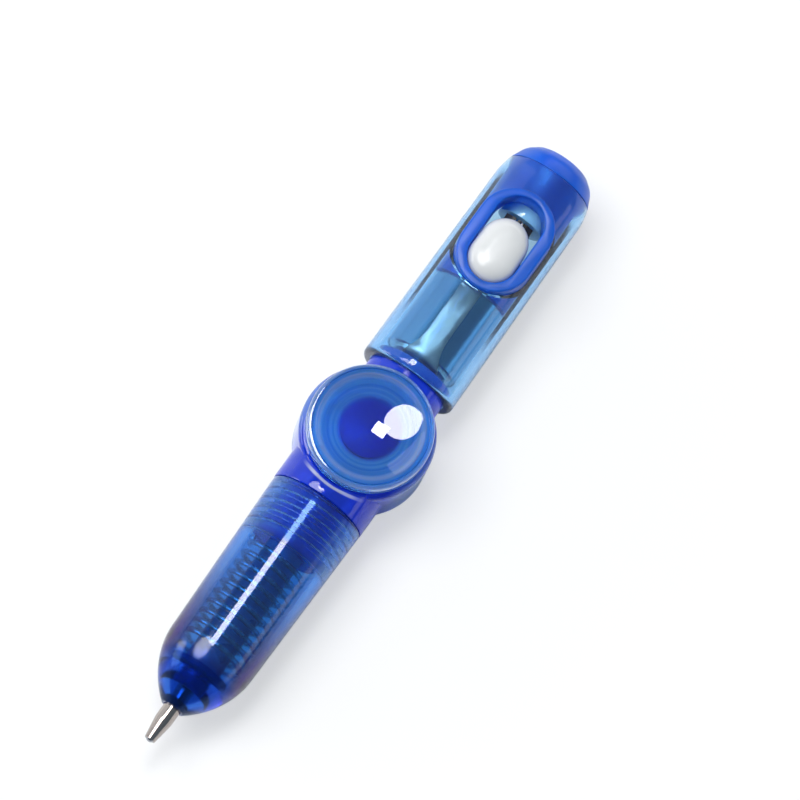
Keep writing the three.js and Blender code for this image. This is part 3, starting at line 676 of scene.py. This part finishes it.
def make_nose_plastic():
    """Clear blue, matt in the bore, paler over the thread, deeper on the dome, with violet painted shade toward its
    sides.
    """
    over_thread, dome_blue, violet = (0.50, 0.80, 1.0), (0.06, 0.22, 0.66), (0.08, 0.0, 0.15)
    thread_shine, bore_shine = (0.40, 0.68, 1.0), (0.10, 0.35, 1.0)
    finish = clear_plastic("clear_blue_nose", (0.22, 0.56, 0.82), (0.03, 0.42, 0.92), 700, clear=0.985)
    distance = finish.distance_from("X")
    parts = finish.split(finish.point())
    x = parts["X"]
    inside = finish.blend(distance, 3.15, 3.35, 1.0, 0.0)
    bore = finish.worked("MULTIPLY", inside, finish.blend(x, -10.2, -9.6, 0.12, 0.4))
    outside = finish.blend(x, -19.6, -18.2, 0.14, 0.05)
    finish.put("Roughness", finish.worked("MAXIMUM", outside, bore))
    thread = finish.blend(x, -9.9, -9.3, 0.0, 1.0)
    colour = finish.mixed(thread, finish.base_colour(), over_thread)
    colour = finish.mixed(finish.blend(x, -20.6, -18.9, 0.85, 0.0), colour, dome_blue)
    # Painted shade: violet toward the sides, strongest from the dome and fading out toward the thread
    side = finish.worked("ABSOLUTE", parts["Y"])
    side_shade_share = finish.worked(
        "MULTIPLY", finish.blend(side, 2.1, 3.3, 0.0, 1.0), finish.blend(x, -19.0, -10.0, 1.0, 0.0),
    )
    finish.put("Base Color", finish.mixed(side_shade_share, colour, violet))
    shine = finish.mixed(thread, WHITE, thread_shine)
    finish.put("Specular Tint", finish.mixed(inside, shine, bore_shine))
    return finish


def make_barrel_plastic():
    """Clear sky blue, polished outside, a little matt and with a bluer shine in the bore."""
    bore_shine = (0.12, 0.45, 1.0)
    finish = clear_plastic("sky_blue_barrel", (0.62, 0.86, 1.0), (0.22, 0.62, 0.94), 700, clear=0.985)
    distance = finish.distance_from("X")
    finish.put("Roughness", finish.blend(distance, 3.3, 3.45, 0.14, 0.04))
    inside = finish.blend(distance, 3.3, 3.45, 1.0, 0.0)
    finish.put("Specular Tint", finish.mixed(inside, WHITE, bore_shine))
    return finish


hub_plastic = make_hub_plastic()
pad_plastic = make_pad_plastic()
nose_plastic = make_nose_plastic()
barrel_plastic = make_barrel_plastic()
cap_plastic = clear_plastic(
    "bright_blue_cap", (0.006, 0.19, 0.88), (0.08, 0.42, 0.95), 150, (0.28, 0.38), clear=0.66,
)
cap_plastic.put("Specular IOR Level", 0.15)
adapter_plastic = solid_plastic("dark_blue_adapter", (0.012, 0.060, 0.30), (0.016, 0.075, 0.36), (0.35, 0.5))
tube_plastic = clear_plastic("milky_tube", (0.16, 0.38, 0.75), (0.50, 0.78, 0.98), 200, (0.25, 0.4), clear=0.35)
ink_paste = solid_plastic("blue_ink", (0.015, 0.10, 0.50), (0.020, 0.12, 0.56), (0.15, 0.3))
axle_plastic = solid_plastic("navy_axle", (0.002, 0.012, 0.40), (0.004, 0.016, 0.46), (0.3, 0.4))
white_plastic = solid_plastic(
    "white_button", (0.61, 0.61, 0.60), (0.65, 0.65, 0.64), (0.18, 0.28), 350.0, 0.05,
)
black_plastic = solid_plastic("black_slide", (0.006, 0.006, 0.007), (0.012, 0.012, 0.013), (0.4, 0.55))
wire_steel = bright_metal("spring_wire", (0.52, 0.53, 0.56), (0.62, 0.63, 0.66), (0.18, 0.3), 1800.0)
point_metal = bright_metal(
    "nickel_point", (0.38, 0.33, 0.30), (0.50, 0.44, 0.40), (0.10, 0.18), 900.0, (0.15, 1, 1),
)
ball_metal = bright_metal("hard_ball", (0.35, 0.35, 0.37), (0.42, 0.42, 0.44), (0.08, 0.16))
strip_metal = bright_metal(
    "silver_strip", (0.50, 0.40, 0.38), (0.73, 0.58, 0.52), (0.32, 0.52), 1500.0, (0.5, 1, 1), 0.4,
)
cell_metal = bright_metal("cell_can", (0.62, 0.63, 0.65), (0.72, 0.73, 0.75), (0.18, 0.3), 600.0, (1, 0.3, 0.3))
film_metal = bright_metal(
    "satin_sleeve", (0.32, 0.46, 0.60), (0.38, 0.52, 0.66), (0.18, 0.24), 500.0, (0.2, 1, 1), 0.05,
)
# Pale blue and only partly clear: painted light that brightens the diode's lens in the cap's shade
lens_plastic = clear_plastic(
    "lens_with_painted_light", (0.30, 0.68, 1.0), (0.7, 0.88, 1.0), 60, (0.02, 0.05), LENS_IOR, 0.3,
)
lead_metal = bright_metal("tinned_lead", (0.60, 0.60, 0.60), (0.70, 0.70, 0.70), (0.3, 0.45))

pen_axis = added(bpy.ops.object.empty_add, location=place(0, 0, 0))


# Hub and finger pads

def make_hub():
    hub = rod("hub", -HUB_HALF, HUB_HALF, HUB_RADIUS, "Z")
    soften(hub, "Z", [(-HUB_HALF, HUB_RADIUS, 0.5), (HUB_HALF, HUB_RADIUS, 0.5)])
    collar = rod("collar", COLLAR_END, 0, COLLAR_RADIUS)
    soften(collar, "X", [(COLLAR_END, COLLAR_RADIUS, 0.1)], 2)
    plug = rod("plug", PLUG_START, PLUG_END, PLUG_RADIUS)
    soften(plug, "X", [(PLUG_END, PLUG_RADIUS, 0.35)])
    stub = threaded("stub", STUB_END, COLLAR_END + 0.3, STUB_ROOT, half_base=0.2, half_crest=0.09)
    join(hub, collar, plug, stub)
    above = rod("above", HUB_HALF, PAST_HUB, PAD_SPACE, "Z")
    below = rod("below", -PAST_HUB, -HUB_HALF, PAD_SPACE, "Z")
    bore = rod("bore", -PAST_HUB, PAST_HUB, AXLE_BORE, "Z", PLAIN)
    well = rod("well", WELL_MOUTH, WELL_END, WELL_RADIUS, "X", PLAIN)
    ledge = [
        (LEDGE_END, 0), (LEDGE_END, PAD_SPACE + LEDGE_RISE), (LEDGE_START, PAD_SPACE), (HUB_HALF, PAD_SPACE),
        (HUB_HALF, 0),
    ]
    ledges = [turned("ledge", [(sign * along, radius) for along, radius in ledge], "Z") for sign in (1, -1)]
    cut(hub, above, below, bore, well, *ledges)
    finish_piece(hub, "pen_body", hub_plastic, "hub_body")


def make_pad(name, sign, node):
    steps = 14
    dish = []
    for step in range(steps + 1):
        share = step / steps
        dish.append((PAD_TOP - DISH_DEPTH * (1 - (1 - share) ** 2), RIM_INNER * (1 - share)))
    outline = [
        (PIN_SOCKET_TOP, 0), (PIN_SOCKET_TOP, PIN_SOCKET), (PAD_UNDER, PIN_SOCKET), (PAD_UNDER, PAD_RADIUS),
        (PAD_TOP, PAD_RADIUS), (PAD_TOP, GROOVE_RADIUS), (PAD_TOP - GROOVE_DEPTH, GROOVE_RADIUS - GROOVE_WIDTH / 2),
        (PAD_TOP, GROOVE_RADIUS - GROOVE_WIDTH), *dish,
    ]
    pad = turned(name, [(sign * along, radius) for along, radius in outline], "Z")
    soften(pad, "Z", [(sign * PAD_TOP, PAD_RADIUS, 0.3), (sign * PAD_UNDER, PAD_RADIUS, 0.25)])
    finish_piece(pad, "finger_pads", pad_plastic, node, angle=24)


def make_axle():
    axle = rod("axle_pin", -AXLE_END, AXLE_END, AXLE_RADIUS, "Z", PLAIN)
    soften(axle, "Z", [(-AXLE_END, AXLE_RADIUS, 0.15), (AXLE_END, AXLE_RADIUS, 0.15)])
    finish_piece(axle, "finger_pads", axle_plastic, "pad_axle")


# Pen half

def nose_radius(x):
    """A slight taper as far as the dome, then the dome."""
    if x > DOME_START:
        return NOSE_RADIUS + (DOME_RADIUS - NOSE_RADIUS) * (NOSE_START - x) / (NOSE_START - DOME_START)
    return DOME_RADIUS * (1 - ((DOME_START - x) / DOME_REACH) ** 2) ** 0.8


def make_nose():
    steps = 20
    outside = []
    for step in range(steps + 1):
        x = NOSE_END + (DOME_START - NOSE_END) * step / steps
        outside.append((x, nose_radius(x)))
    nose = turned("nose", [
        (NOSE_END, POINT_HOLE), *outside, (NOSE_START, NOSE_RADIUS), (NOSE_START, NOSE_MOUTH),
        (STUB_END, NOSE_MOUTH), (STUB_END, SPRING_BORE), (FLANGE_BACK, SPRING_BORE), (FLANGE_SEAT, SEAT_RADIUS),
        (FLANGE_SEAT, NOSE_MOUTH), (ADAPTER_SEAT, NOSE_MOUTH), (SEAT_CONE_END, POINT_HOLE), (NOSE_END, POINT_HOLE),
    ])
    soften(nose, "X", [(NOSE_START, NOSE_RADIUS, 0.08)], 2)
    cut(nose, rod("relief", STUB_END - 0.2, STUB_END + 0.5, RELIEF_RADIUS))
    thread_start, thread_end = STUB_END - 0.05, NOSE_START + 0.5
    cut(nose, threaded("bore_thread", thread_start, thread_end, NOSE_BORE, half_base=0.3, half_crest=0.19))
    finish_piece(nose, "nose", nose_plastic, "nose_barrel")


def make_spring():
    """One round section is screwed into the coil, and both ends are drawn on straight along the pen."""
    spring = added(
        bpy.ops.mesh.primitive_circle_add,
        vertices=WIRE_SIDES, radius=WIRE * MM, location=place(SPRING_START, SPRING_RADIUS, 0),
    )
    settle(spring, "coil_spring")
    screw_round(spring, -PITCH, SPRING_TURNS, COIL_SIDES, False)
    open_up(spring)
    bpy.ops.mesh.select_mode(type="EDGE")
    bpy.ops.mesh.select_all(action="DESELECT")
    bpy.ops.mesh.select_non_manifold()
    bpy.ops.mesh.edge_face_add()
    face_outward()
    close_up()
    draw_tail(spring, SPRING_START, 1)
    draw_tail(spring, SPRING_START - SPRING_TURNS * PITCH, -1)
    finish_piece(spring, "refill", wire_steel, "nose_spring")


def draw_tail(spring, end, sign):
    """Bends the wire's end round to run along the pen, and draws it on to its seat."""
    face = place(end, SPRING_RADIUS, 0)
    pick(spring, "FACE", lambda part: (part.calc_center_median() - face).length < 0.02 * MM)
    centre = place(end + sign * TAIL_BEND, SPRING_RADIUS, 0)
    bpy.ops.mesh.spin(steps=6, angle=-QUARTER_TURN, center=centre, axis=(0, 1, 0))
    bpy.ops.mesh.extrude_region_move(TRANSFORM_OT_translate={"value": (sign * 2 * WIRE * MM, 0, 0)})
    merge_doubles()
    close_up()


def make_refill():
    tube = hollow_rod("ink_tube", TUBE_FRONT, TUBE_BACK, TUBE_BORE, TUBE_RADIUS, PLAIN)
    soften(tube, "X", [(TUBE_BACK, TUBE_RADIUS, 0.08), (TUBE_FRONT, TUBE_RADIUS, 0.05)], 2)
    finish_piece(tube, "refill", tube_plastic, "refill_tube")
    ink = turned("ink", [
        (INK_START, 0), (INK_START, INK_RADIUS), (INK_START + 10.6, INK_RADIUS), (INK_START + 11, 0.7),
        (INK_START + 11, 0),
    ], "X", SMALL)
    finish_piece(ink, "refill", ink_paste, "ink_column")
    adapter = turned("adapter", [
        (ADAPTER_END, POINT_HOLE), (ADAPTER_END, ADAPTER_RADIUS), (FLANGE_FRONT, ADAPTER_RADIUS),
        (FLANGE_FRONT, FLANGE_RADIUS), (FLANGE_BACK, FLANGE_RADIUS), (FLANGE_BACK, INK_RADIUS),
        (POINT_BACK, INK_RADIUS), (POINT_BACK, POINT_HOLE), (ADAPTER_END, POINT_HOLE),
    ], "X", PLAIN)
    soften(adapter, "X", [
        (FLANGE_FRONT, FLANGE_RADIUS, 0.12), (ADAPTER_END, ADAPTER_RADIUS, 0.1), (FLANGE_BACK, FLANGE_RADIUS, 0.08),
    ], 3)
    finish_piece(adapter, "refill", adapter_plastic, "refill_adapter")


def make_tip():
    """The metal point, with a round socket that holds the ball behind its lip."""
    centre = TIP_END + BALL_RADIUS
    front = centre + POINT_LIP
    steps = 8
    inside = []
    start = math.atan2(INK_HOLE, math.sqrt(POINT_SOCKET ** 2 - INK_HOLE ** 2))
    stop = math.pi - math.atan2(math.sqrt(POINT_SOCKET ** 2 - POINT_LIP ** 2), -POINT_LIP)
    for step in range(steps + 1):
        turn = start + (stop - start) * step / steps
        inside.append((centre + POINT_SOCKET * math.cos(turn), POINT_SOCKET * math.sin(turn)))
    tip = turned("metal_point", [
        inside[-1], (front, POINT_MOUTH), (front + POINT_CONE, POINT_RADIUS), (POINT_BACK, POINT_RADIUS),
        (POINT_BACK, INK_HOLE), *inside,
    ], "X", POINT_SIDES)
    soften(tip, "X", [(front + POINT_CONE, POINT_RADIUS, 0.12)], 3)
    finish_piece(tip, "refill", point_metal, "refill_tip", angle=50)


def make_ball():
    ball = added(
        bpy.ops.mesh.primitive_ico_sphere_add,
        subdivisions=4, radius=BALL_RADIUS * MM, location=place(TIP_END + BALL_RADIUS, 0, 0),
    )
    settle(ball, "point_ball")
    open_up(ball)
    select_whole()
    bpy.ops.transform.tosphere(value=1.0)
    close_up()
    finish_piece(ball, "ball", ball_metal, "writing_ball")


# Light half

def make_light_barrel():
    barrel = turned("light_tube", [
        (BARREL_START, BARREL_BORE), (BARREL_START, BARREL_RADIUS), (SHOULDER, SHOULDER_RADIUS),
        (BARREL_END, BARREL_END_RADIUS), (BARREL_END, BARREL_BORE), (BARREL_START, BARREL_BORE),
    ])
    soften(barrel, "X", [
        (BARREL_START, BARREL_RADIUS, 0.35), (SHOULDER, SHOULDER_RADIUS, 0.5), (BARREL_END, BARREL_END_RADIUS, 0.06),
    ])
    cut(barrel, racetrack(
        "window", FRAME_CENTRE, FRAME_LENGTH + WINDOW_GAP, FRAME_WIDTH + WINDOW_GAP, 0, PAST_FRAME,
    ))
    finish_piece(barrel, "pen_body", barrel_plastic, "light_barrel")


def make_tongue():
    """The cap's upper half shell in the barrel, with the switch frame on it and room for cells and strip."""
    start = FRAME_CENTRE - FRAME_LENGTH / 2
    end = CAP_PLUG_START + OVERLAP
    tongue = rod("tongue", start, end, PLUG_RADIUS)
    combine(tongue, block("tongue_space", 0, end, FRAME_WIDTH / 2, 0, 5), "INTERSECT")
    frame_ring = racetrack("switch_frame", FRAME_CENTRE, FRAME_LENGTH, FRAME_WIDTH, 0, FRAME_TOP)
    top = place(0, 0, FRAME_TOP).z
    round_edges(frame_ring, lambda vertex: abs(vertex.co.z - top) < SAME_SPOT * MM, 0.18, 4)
    join(tongue, frame_ring)
    hollow = rod("hollow", 0, CAP_PLUG_START, TONGUE_BORE)
    cells = rod("cell_space", 0, CELL_SPACE_END, BARREL_BORE)
    notch = block("strip_notch", 0, NOTCH_END, NOTCH_HALF, 0, NOTCH_TOP)
    slot = racetrack("slot", SLOT_CENTRE, SLOT_LENGTH, SLOT_WIDTH, 0, PAST_FRAME)
    cut(tongue, hollow, cells, notch, slot)
    half_slot = SLOT_WIDTH / 2 + 0.01
    round_edges(
        tongue, lambda vertex: abs(vertex.co.z - top) < SAME_SPOT * MM and in_slot(vertex.co, half_slot), 0.14, 3,
    )
    return tongue


def make_cap():
    cap = turned("cap", [
        (CAP_START, 0), (CAP_START, CAP_RADIUS), (CAP_CONE_END, CAP_CONE_RADIUS), (CAP_END, CAP_END_RADIUS),
        (CAP_END, 0),
    ])
    soften(cap, "X", [
        (CAP_START, CAP_RADIUS, 0.08), (CAP_CONE_END, CAP_CONE_RADIUS, 0.3), (CAP_END, CAP_END_RADIUS, 0.25),
    ])
    plug = rod("cap_plug", CAP_PLUG_START, CAP_START + OVERLAP, PLUG_RADIUS)
    join(cap, plug, make_tongue())
    led_hole = rod("led_hole", BEFORE_LED, PAST_CAP, LED_BORE, "X", PLAIN)
    pocket = rod("pocket", BEFORE_LED, LED_BASE + LED_POCKET, LED_POCKET_RADIUS, "X", PLAIN)
    cut(cap, led_hole, pocket)
    finish_piece(cap, "pen_body", cap_plastic, "end_cap")


def in_slot(spot, half_width):
    """True for a point on or inside the switch slot's outline in plan."""
    reach = (SLOT_LENGTH / 2 - SLOT_WIDTH / 2) * MM
    x = max(abs(spot.x - place(SLOT_CENTRE, 0, 0).x) - reach, 0)
    return math.hypot(x, spot.y) < half_width * MM


def make_button():
    """An egg-shaped block whose top is raised in ever smaller rings to a dome."""
    centre = BUTTON_START + BUTTON_LENGTH / 2
    side_top = BUTTON_TOP - BUTTON_DOME
    button = racetrack("button", centre, BUTTON_LENGTH, BUTTON_WIDTH, BUTTON_UNDER, side_top, BUTTON_SIDES)
    middle = place(centre, 0, 0).x
    for vertex in button.data.vertices:
        share = min(max((vertex.co.x - middle) / (BUTTON_LENGTH * MM / 2), 0), 1)
        vertex.co.y *= 1 - BUTTON_TAPER * share
    near_top = place(0, 0, side_top - 0.01).z
    pick(button, "VERT", lambda vertex: vertex.co.z > near_top)
    steps = 9
    turns = [QUARTER_TURN * step / steps for step in range(steps + 1)]
    inset = [BUTTON_ROUNDING * (1 - math.cos(turn)) for turn in turns]
    height = [BUTTON_DOME * math.sin(turn) for turn in turns]
    for step in range(steps):
        rise = (height[step + 1] - height[step]) * MM
        bpy.ops.mesh.extrude_region_move(TRANSFORM_OT_translate={"value": (0, 0, rise)})
        shrink = [
            (size / 2 - inset[step + 1]) / (size / 2 - inset[step]) for size in (BUTTON_LENGTH, BUTTON_WIDTH)
        ]
        bpy.ops.transform.resize(value=(*shrink, 1), center_override=place(centre, 0, side_top))
    close_up()
    neck_start = SLIDER_END - NECK_LENGTH
    join(button, block("neck", neck_start, SLIDER_END, NECK_HALF, SLIDER_TOP + 0.05, BUTTON_UNDER + 0.1))
    finish_piece(button, "switch", white_plastic, "switch_button", angle=50)


def make_strip():
    """A sheet drawn along the cells, flared at its foot, curved to the barrel and given its thickness."""
    run = SLEEVE_RADIUS - CELL_DROP + 0.05 + 0.075
    bend = CELLS_START + 3 * CELL + 0.175
    # Each point is along the pen, height, and half the width there
    line = [
        (STRIP_FOOT, -1.0, 1.45), (STRIP_FOOT, 1.9, 1.45), (6.78, 2.55, 1.42), (6.84, 2.78, 1.36),
        (6.98, 2.90, 1.28), (7.2, run, 1.18), (7.5, run, 1.04), (7.9, run, 0.93), (8.4, run, 0.84),
        (9.2, run, STRIP_HALF), (11, run, STRIP_HALF), (bend - 0.2, run, STRIP_HALF),
        (bend, run - 0.08, STRIP_HALF), (bend + 0.9, 0.87, STRIP_HALF), (bend + 1.05, STRIP_LOW, STRIP_HALF),
        (bend + 3.4, STRIP_LOW, STRIP_HALF),
    ]
    points = [place(x, 0, z) for x, z, _ in line]
    strip = first_point("leaf_strip", points[0])
    draw_on(points)
    rows = 4
    half_sheet = 0.5
    select_whole()
    bpy.ops.transform.translate(value=(0, -half_sheet * MM, 0))
    for _ in range(rows):
        bpy.ops.mesh.extrude_edges_move(TRANSFORM_OT_translate={"value": (0, MM / rows, 0)})
    mesh = bmesh.from_edit_mesh(strip.data)
    for vertex in mesh.verts:
        spot = Vector((vertex.co.x, 0, vertex.co.z))
        nearest = min(range(len(line)), key=lambda index: (points[index] - spot).length)
        x, _, half = line[nearest]
        side = vertex.co.y / (half_sheet * MM) * half
        vertex.co.y = side * MM
        if 6.8 < x < 8.0:
            vertex.co.z -= (BARREL_CURVE - math.sqrt(BARREL_CURVE ** 2 - side ** 2)) * 0.9 * MM
    bmesh.update_edit_mesh(strip.data)
    face_outward()
    close_up()
    wall = strip.modifiers.new("sheet", "SOLIDIFY")
    wall.thickness = STRIP_THICKNESS * MM
    wall.offset = 0
    apply_step(strip, wall)
    edge = strip.modifiers.new("edge", "BEVEL")
    edge.width = 0.05 * MM
    edge.segments = 2
    edge.limit_method = "ANGLE"
    edge.angle_limit = math.radians(50)
    apply_step(strip, edge)
    finish_piece(strip, "pen_body", strip_metal, "contact_strip", angle=40)


def make_cells():
    for index in range(3):
        start = CELLS_START + index * CELL
        step_at = start + CELL_BASE
        end = start + CELL - CELL_GAP
        cell = turned(f"button_cell_{index + 1}", [
            (start, 0), (start, CELL_BASE_RADIUS), (step_at, CELL_BASE_RADIUS), (step_at, CELL_RADIUS),
            (end, CELL_RADIUS), (end, 0),
        ], "X", CAN_SIDES)
        soften(cell, "X", [
            (end, CELL_RADIUS, 0.15), (step_at, CELL_RADIUS, 0.15), (start, CELL_BASE_RADIUS, 0.1),
        ], 3)
        lower(cell)
        finish_piece(cell, "pen_body", cell_metal, f"cell_{index + 1}")
    sleeve_start, sleeve_end = CELLS_START + CELL_BASE, CELLS_START + 3 * CELL
    sleeve = hollow_rod("cell_wrap", sleeve_start, sleeve_end, SLEEVE_BORE, SLEEVE_RADIUS, CAN_SIDES)
    lower(sleeve)
    finish_piece(sleeve, "pen_body", film_metal, "cell_sleeve")


def lower(piece):
    """Drops a piece onto the barrel's floor, as the cells lie."""
    open_up(piece)
    select_whole()
    bpy.ops.transform.translate(value=(0, 0, -CELL_DROP * MM))
    close_up()


def make_light():
    """The diode's body with its domed end, and the two holes in which its leads sit."""
    steps = 12
    dome = []
    for step in range(steps):
        turn = QUARTER_TURN * step / steps
        dome.append((LED_END - LED_RADIUS + LED_RADIUS * math.sin(turn), LED_RADIUS * math.cos(turn)))
    dome.append((LED_END, 0))
    collar_end = LED_BASE + LED_COLLAR
    lens = turned("diode", [
        (LED_BASE, 0), (LED_BASE, LED_COLLAR_RADIUS), (collar_end, LED_COLLAR_RADIUS), (collar_end, LED_RADIUS),
        *dome,
    ], "X", PLAIN)
    soften(lens, "X", [(collar_end, LED_COLLAR_RADIUS, 0.08), (LED_BASE, LED_COLLAR_RADIUS, 0.08)], 2)
    for side in (1, -1):
        height = side * LEAD_OFFSET
        hole_end = LED_BASE + LEAD_DEPTH
        cut(lens, block("lead_hole", BEFORE_LED, hole_end, LEAD_HALF, height - LEAD_HALF, height + LEAD_HALF))
    finish_piece(lens, "pen_body", lens_plastic, "led_lens")


make_hub()
make_pad("upper_pad", 1, "top_finger_pad")
make_pad("lower_pad", -1, "bottom_finger_pad")
make_axle()
make_nose()
make_spring()
make_refill()
make_tip()
make_ball()
make_light_barrel()
make_cap()
make_button()
make_strip()
make_cells()
make_light()

# These four solids have the right shape already and only get their material
for node, finish in (
    ("switch_slider", black_plastic), ("led_spacer", black_plastic),
    ("led_cathode", lead_metal), ("led_anode", lead_metal),
):
    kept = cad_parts[node]
    if kept.data.materials:
        kept.material_slots[0].material = finish.material
    else:
        kept.data.materials.append(finish.material)

bpy.data.objects.remove(pen_axis, do_unlink=True)


# Studio: floor, soft lights and camera, in metres

FLOOR_SIZE = 1.6
FLOOR_DROP = 0.00002
FLOOR_GLOW = 0.55
ROOM_BLUE = (0.62, 0.80, 1.0, 1)
ROOM_STRENGTH = 0.26
# Name, place, side along the pen, side across it, brightness of the face, shape
LIGHTS = (
    ("line_light", (0.16, 0.19, 0.965), 0.22, 0.23, 17, "RECTANGLE"),
    ("window_light", (-0.12, 0.40, 0.90), 0.58, 0.58, 7.8, "ELLIPSE"),
    ("left_light", (-0.34, 0.90, 0.20), 0.46, 0.40, 5, "RECTANGLE"),
    ("side_glow", (0.25, 0.85, 0.40), 0.80, 0.80, 0.7, "RECTANGLE"),
    ("right_light", (0.0, -0.90, 0.20), 0.90, 0.20, 1.2, "RECTANGLE"),
    ("end_light", (0.91, 0.0, 0.41), 0.06, 1.00, 9, "RECTANGLE"),
)
CAMERA_SIDE = (-0.264, -0.043, 0.954)
CAMERA_DISTANCE = 0.5
CAMERA_LEAN = 35.7
SHIFT_RIGHT = 0.00306
SHIFT_UP = 0.00361
SENSOR = 36
PICTURE_WIDTH = 800
PIXELS_PER_MM = 13.685


def make_floor():
    """A pale floor that looks lit to the camera and through the clear plastic, and keeps the shadow."""
    floor = added(bpy.ops.mesh.primitive_plane_add, size=FLOOR_SIZE, location=(0, 0, -FLOOR_DROP))
    settle(floor, "floor")
    finish = Finish("pale_floor")
    finish.put("Base Color", (0.92, 0.92, 0.92))
    finish.put("Roughness", 0.8)
    glow = finish.nodes.new("ShaderNodeEmission")
    glow.inputs["Strength"].default_value = 1.0
    path = finish.nodes.new("ShaderNodeLightPath")
    seen = finish.worked("MAXIMUM", path.outputs["Is Camera Ray"], path.outputs["Is Transmission Ray"])
    mix = finish.nodes.new("ShaderNodeMixShader")
    finish.links.new(finish.worked("MULTIPLY", seen, FLOOR_GLOW), mix.inputs["Fac"])
    finish.links.new(finish.shader.outputs["BSDF"], mix.inputs[1])
    finish.links.new(glow.outputs["Emission"], mix.inputs[2])
    finish.links.new(mix.outputs["Shader"], finish.nodes["Material Output"].inputs["Surface"])
    floor.data.materials.append(finish.material)


def aim(item, right, up, back):
    """Turns a light or the camera to its three directions."""
    turn = item.matrix_world.to_3x3()
    turn.col[0] = right
    turn.col[1] = up
    turn.col[2] = back
    item.rotation_mode = "QUATERNION"
    item.rotation_quaternion = turn.to_quaternion()


def soft_light(name, spot, along, across, brightness, shape):
    """A soft panel that faces the pen, with one side along it."""
    lamp = added(bpy.ops.object.light_add, type="AREA", location=spot)
    lamp.name = name
    lamp.data.shape = shape
    lamp.data.size = along
    lamp.data.size_y = across
    face = along * across * (math.pi / 4 if shape == "ELLIPSE" else 1)
    lamp.data.energy = brightness * math.pi * face
    back = Vector(spot).normalized()
    first = (Vector((1, 0, 0)) - back * back.x).normalized()
    aim(lamp, first, back.cross(first), back)


def make_world():
    """A dim blue room for the light, seen as white by the camera."""
    world = bpy.context.scene.world or bpy.data.worlds.new("studio")
    bpy.context.scene.world = world
    world.use_nodes = True
    nodes = world.node_tree.nodes
    links = world.node_tree.links
    room = nodes["Background"]
    room.inputs["Color"].default_value = ROOM_BLUE
    room.inputs["Strength"].default_value = ROOM_STRENGTH
    white = nodes.new("ShaderNodeBackground")
    white.inputs["Color"].default_value = (*WHITE, 1)
    white.inputs["Strength"].default_value = 1.0
    path = nodes.new("ShaderNodeLightPath")
    mix = nodes.new("ShaderNodeMixShader")
    links.new(path.outputs["Is Camera Ray"], mix.inputs["Fac"])
    links.new(room.outputs["Background"], mix.inputs[1])
    links.new(white.outputs["Background"], mix.inputs[2])
    links.new(mix.outputs["Shader"], nodes["World Output"].inputs["Surface"])


def make_camera():
    """Looks down at the pen's middle, leaned so that the pen lies across the picture's corners."""
    camera = added(bpy.ops.object.camera_add)
    camera.name = "photo_camera"
    toward = Vector(CAMERA_SIDE).normalized()
    centre = Vector((0, 0, 0.0046))
    pen = Vector((1, 0, 0))
    flat = (pen - toward * pen.dot(toward)).normalized()
    side = flat.cross(toward).normalized()
    lean = math.radians(CAMERA_LEAN)
    up = flat * math.cos(lean) - side * math.sin(lean)
    right = up.cross(toward)
    camera.location = centre + toward * CAMERA_DISTANCE + right * SHIFT_RIGHT + up * SHIFT_UP
    aim(camera, right, up, toward)
    camera.data.sensor_width = SENSOR
    camera.data.lens = SENSOR * CAMERA_DISTANCE / (PICTURE_WIDTH / PIXELS_PER_MM * MM)
    camera.data.clip_start = 0.01
    camera.data.clip_end = 10
    bpy.context.scene.camera = camera


make_floor()
make_world()
for light in LIGHTS:
    soft_light(*light)
make_camera()

bpy.context.scene.view_settings.view_transform = "Standard"
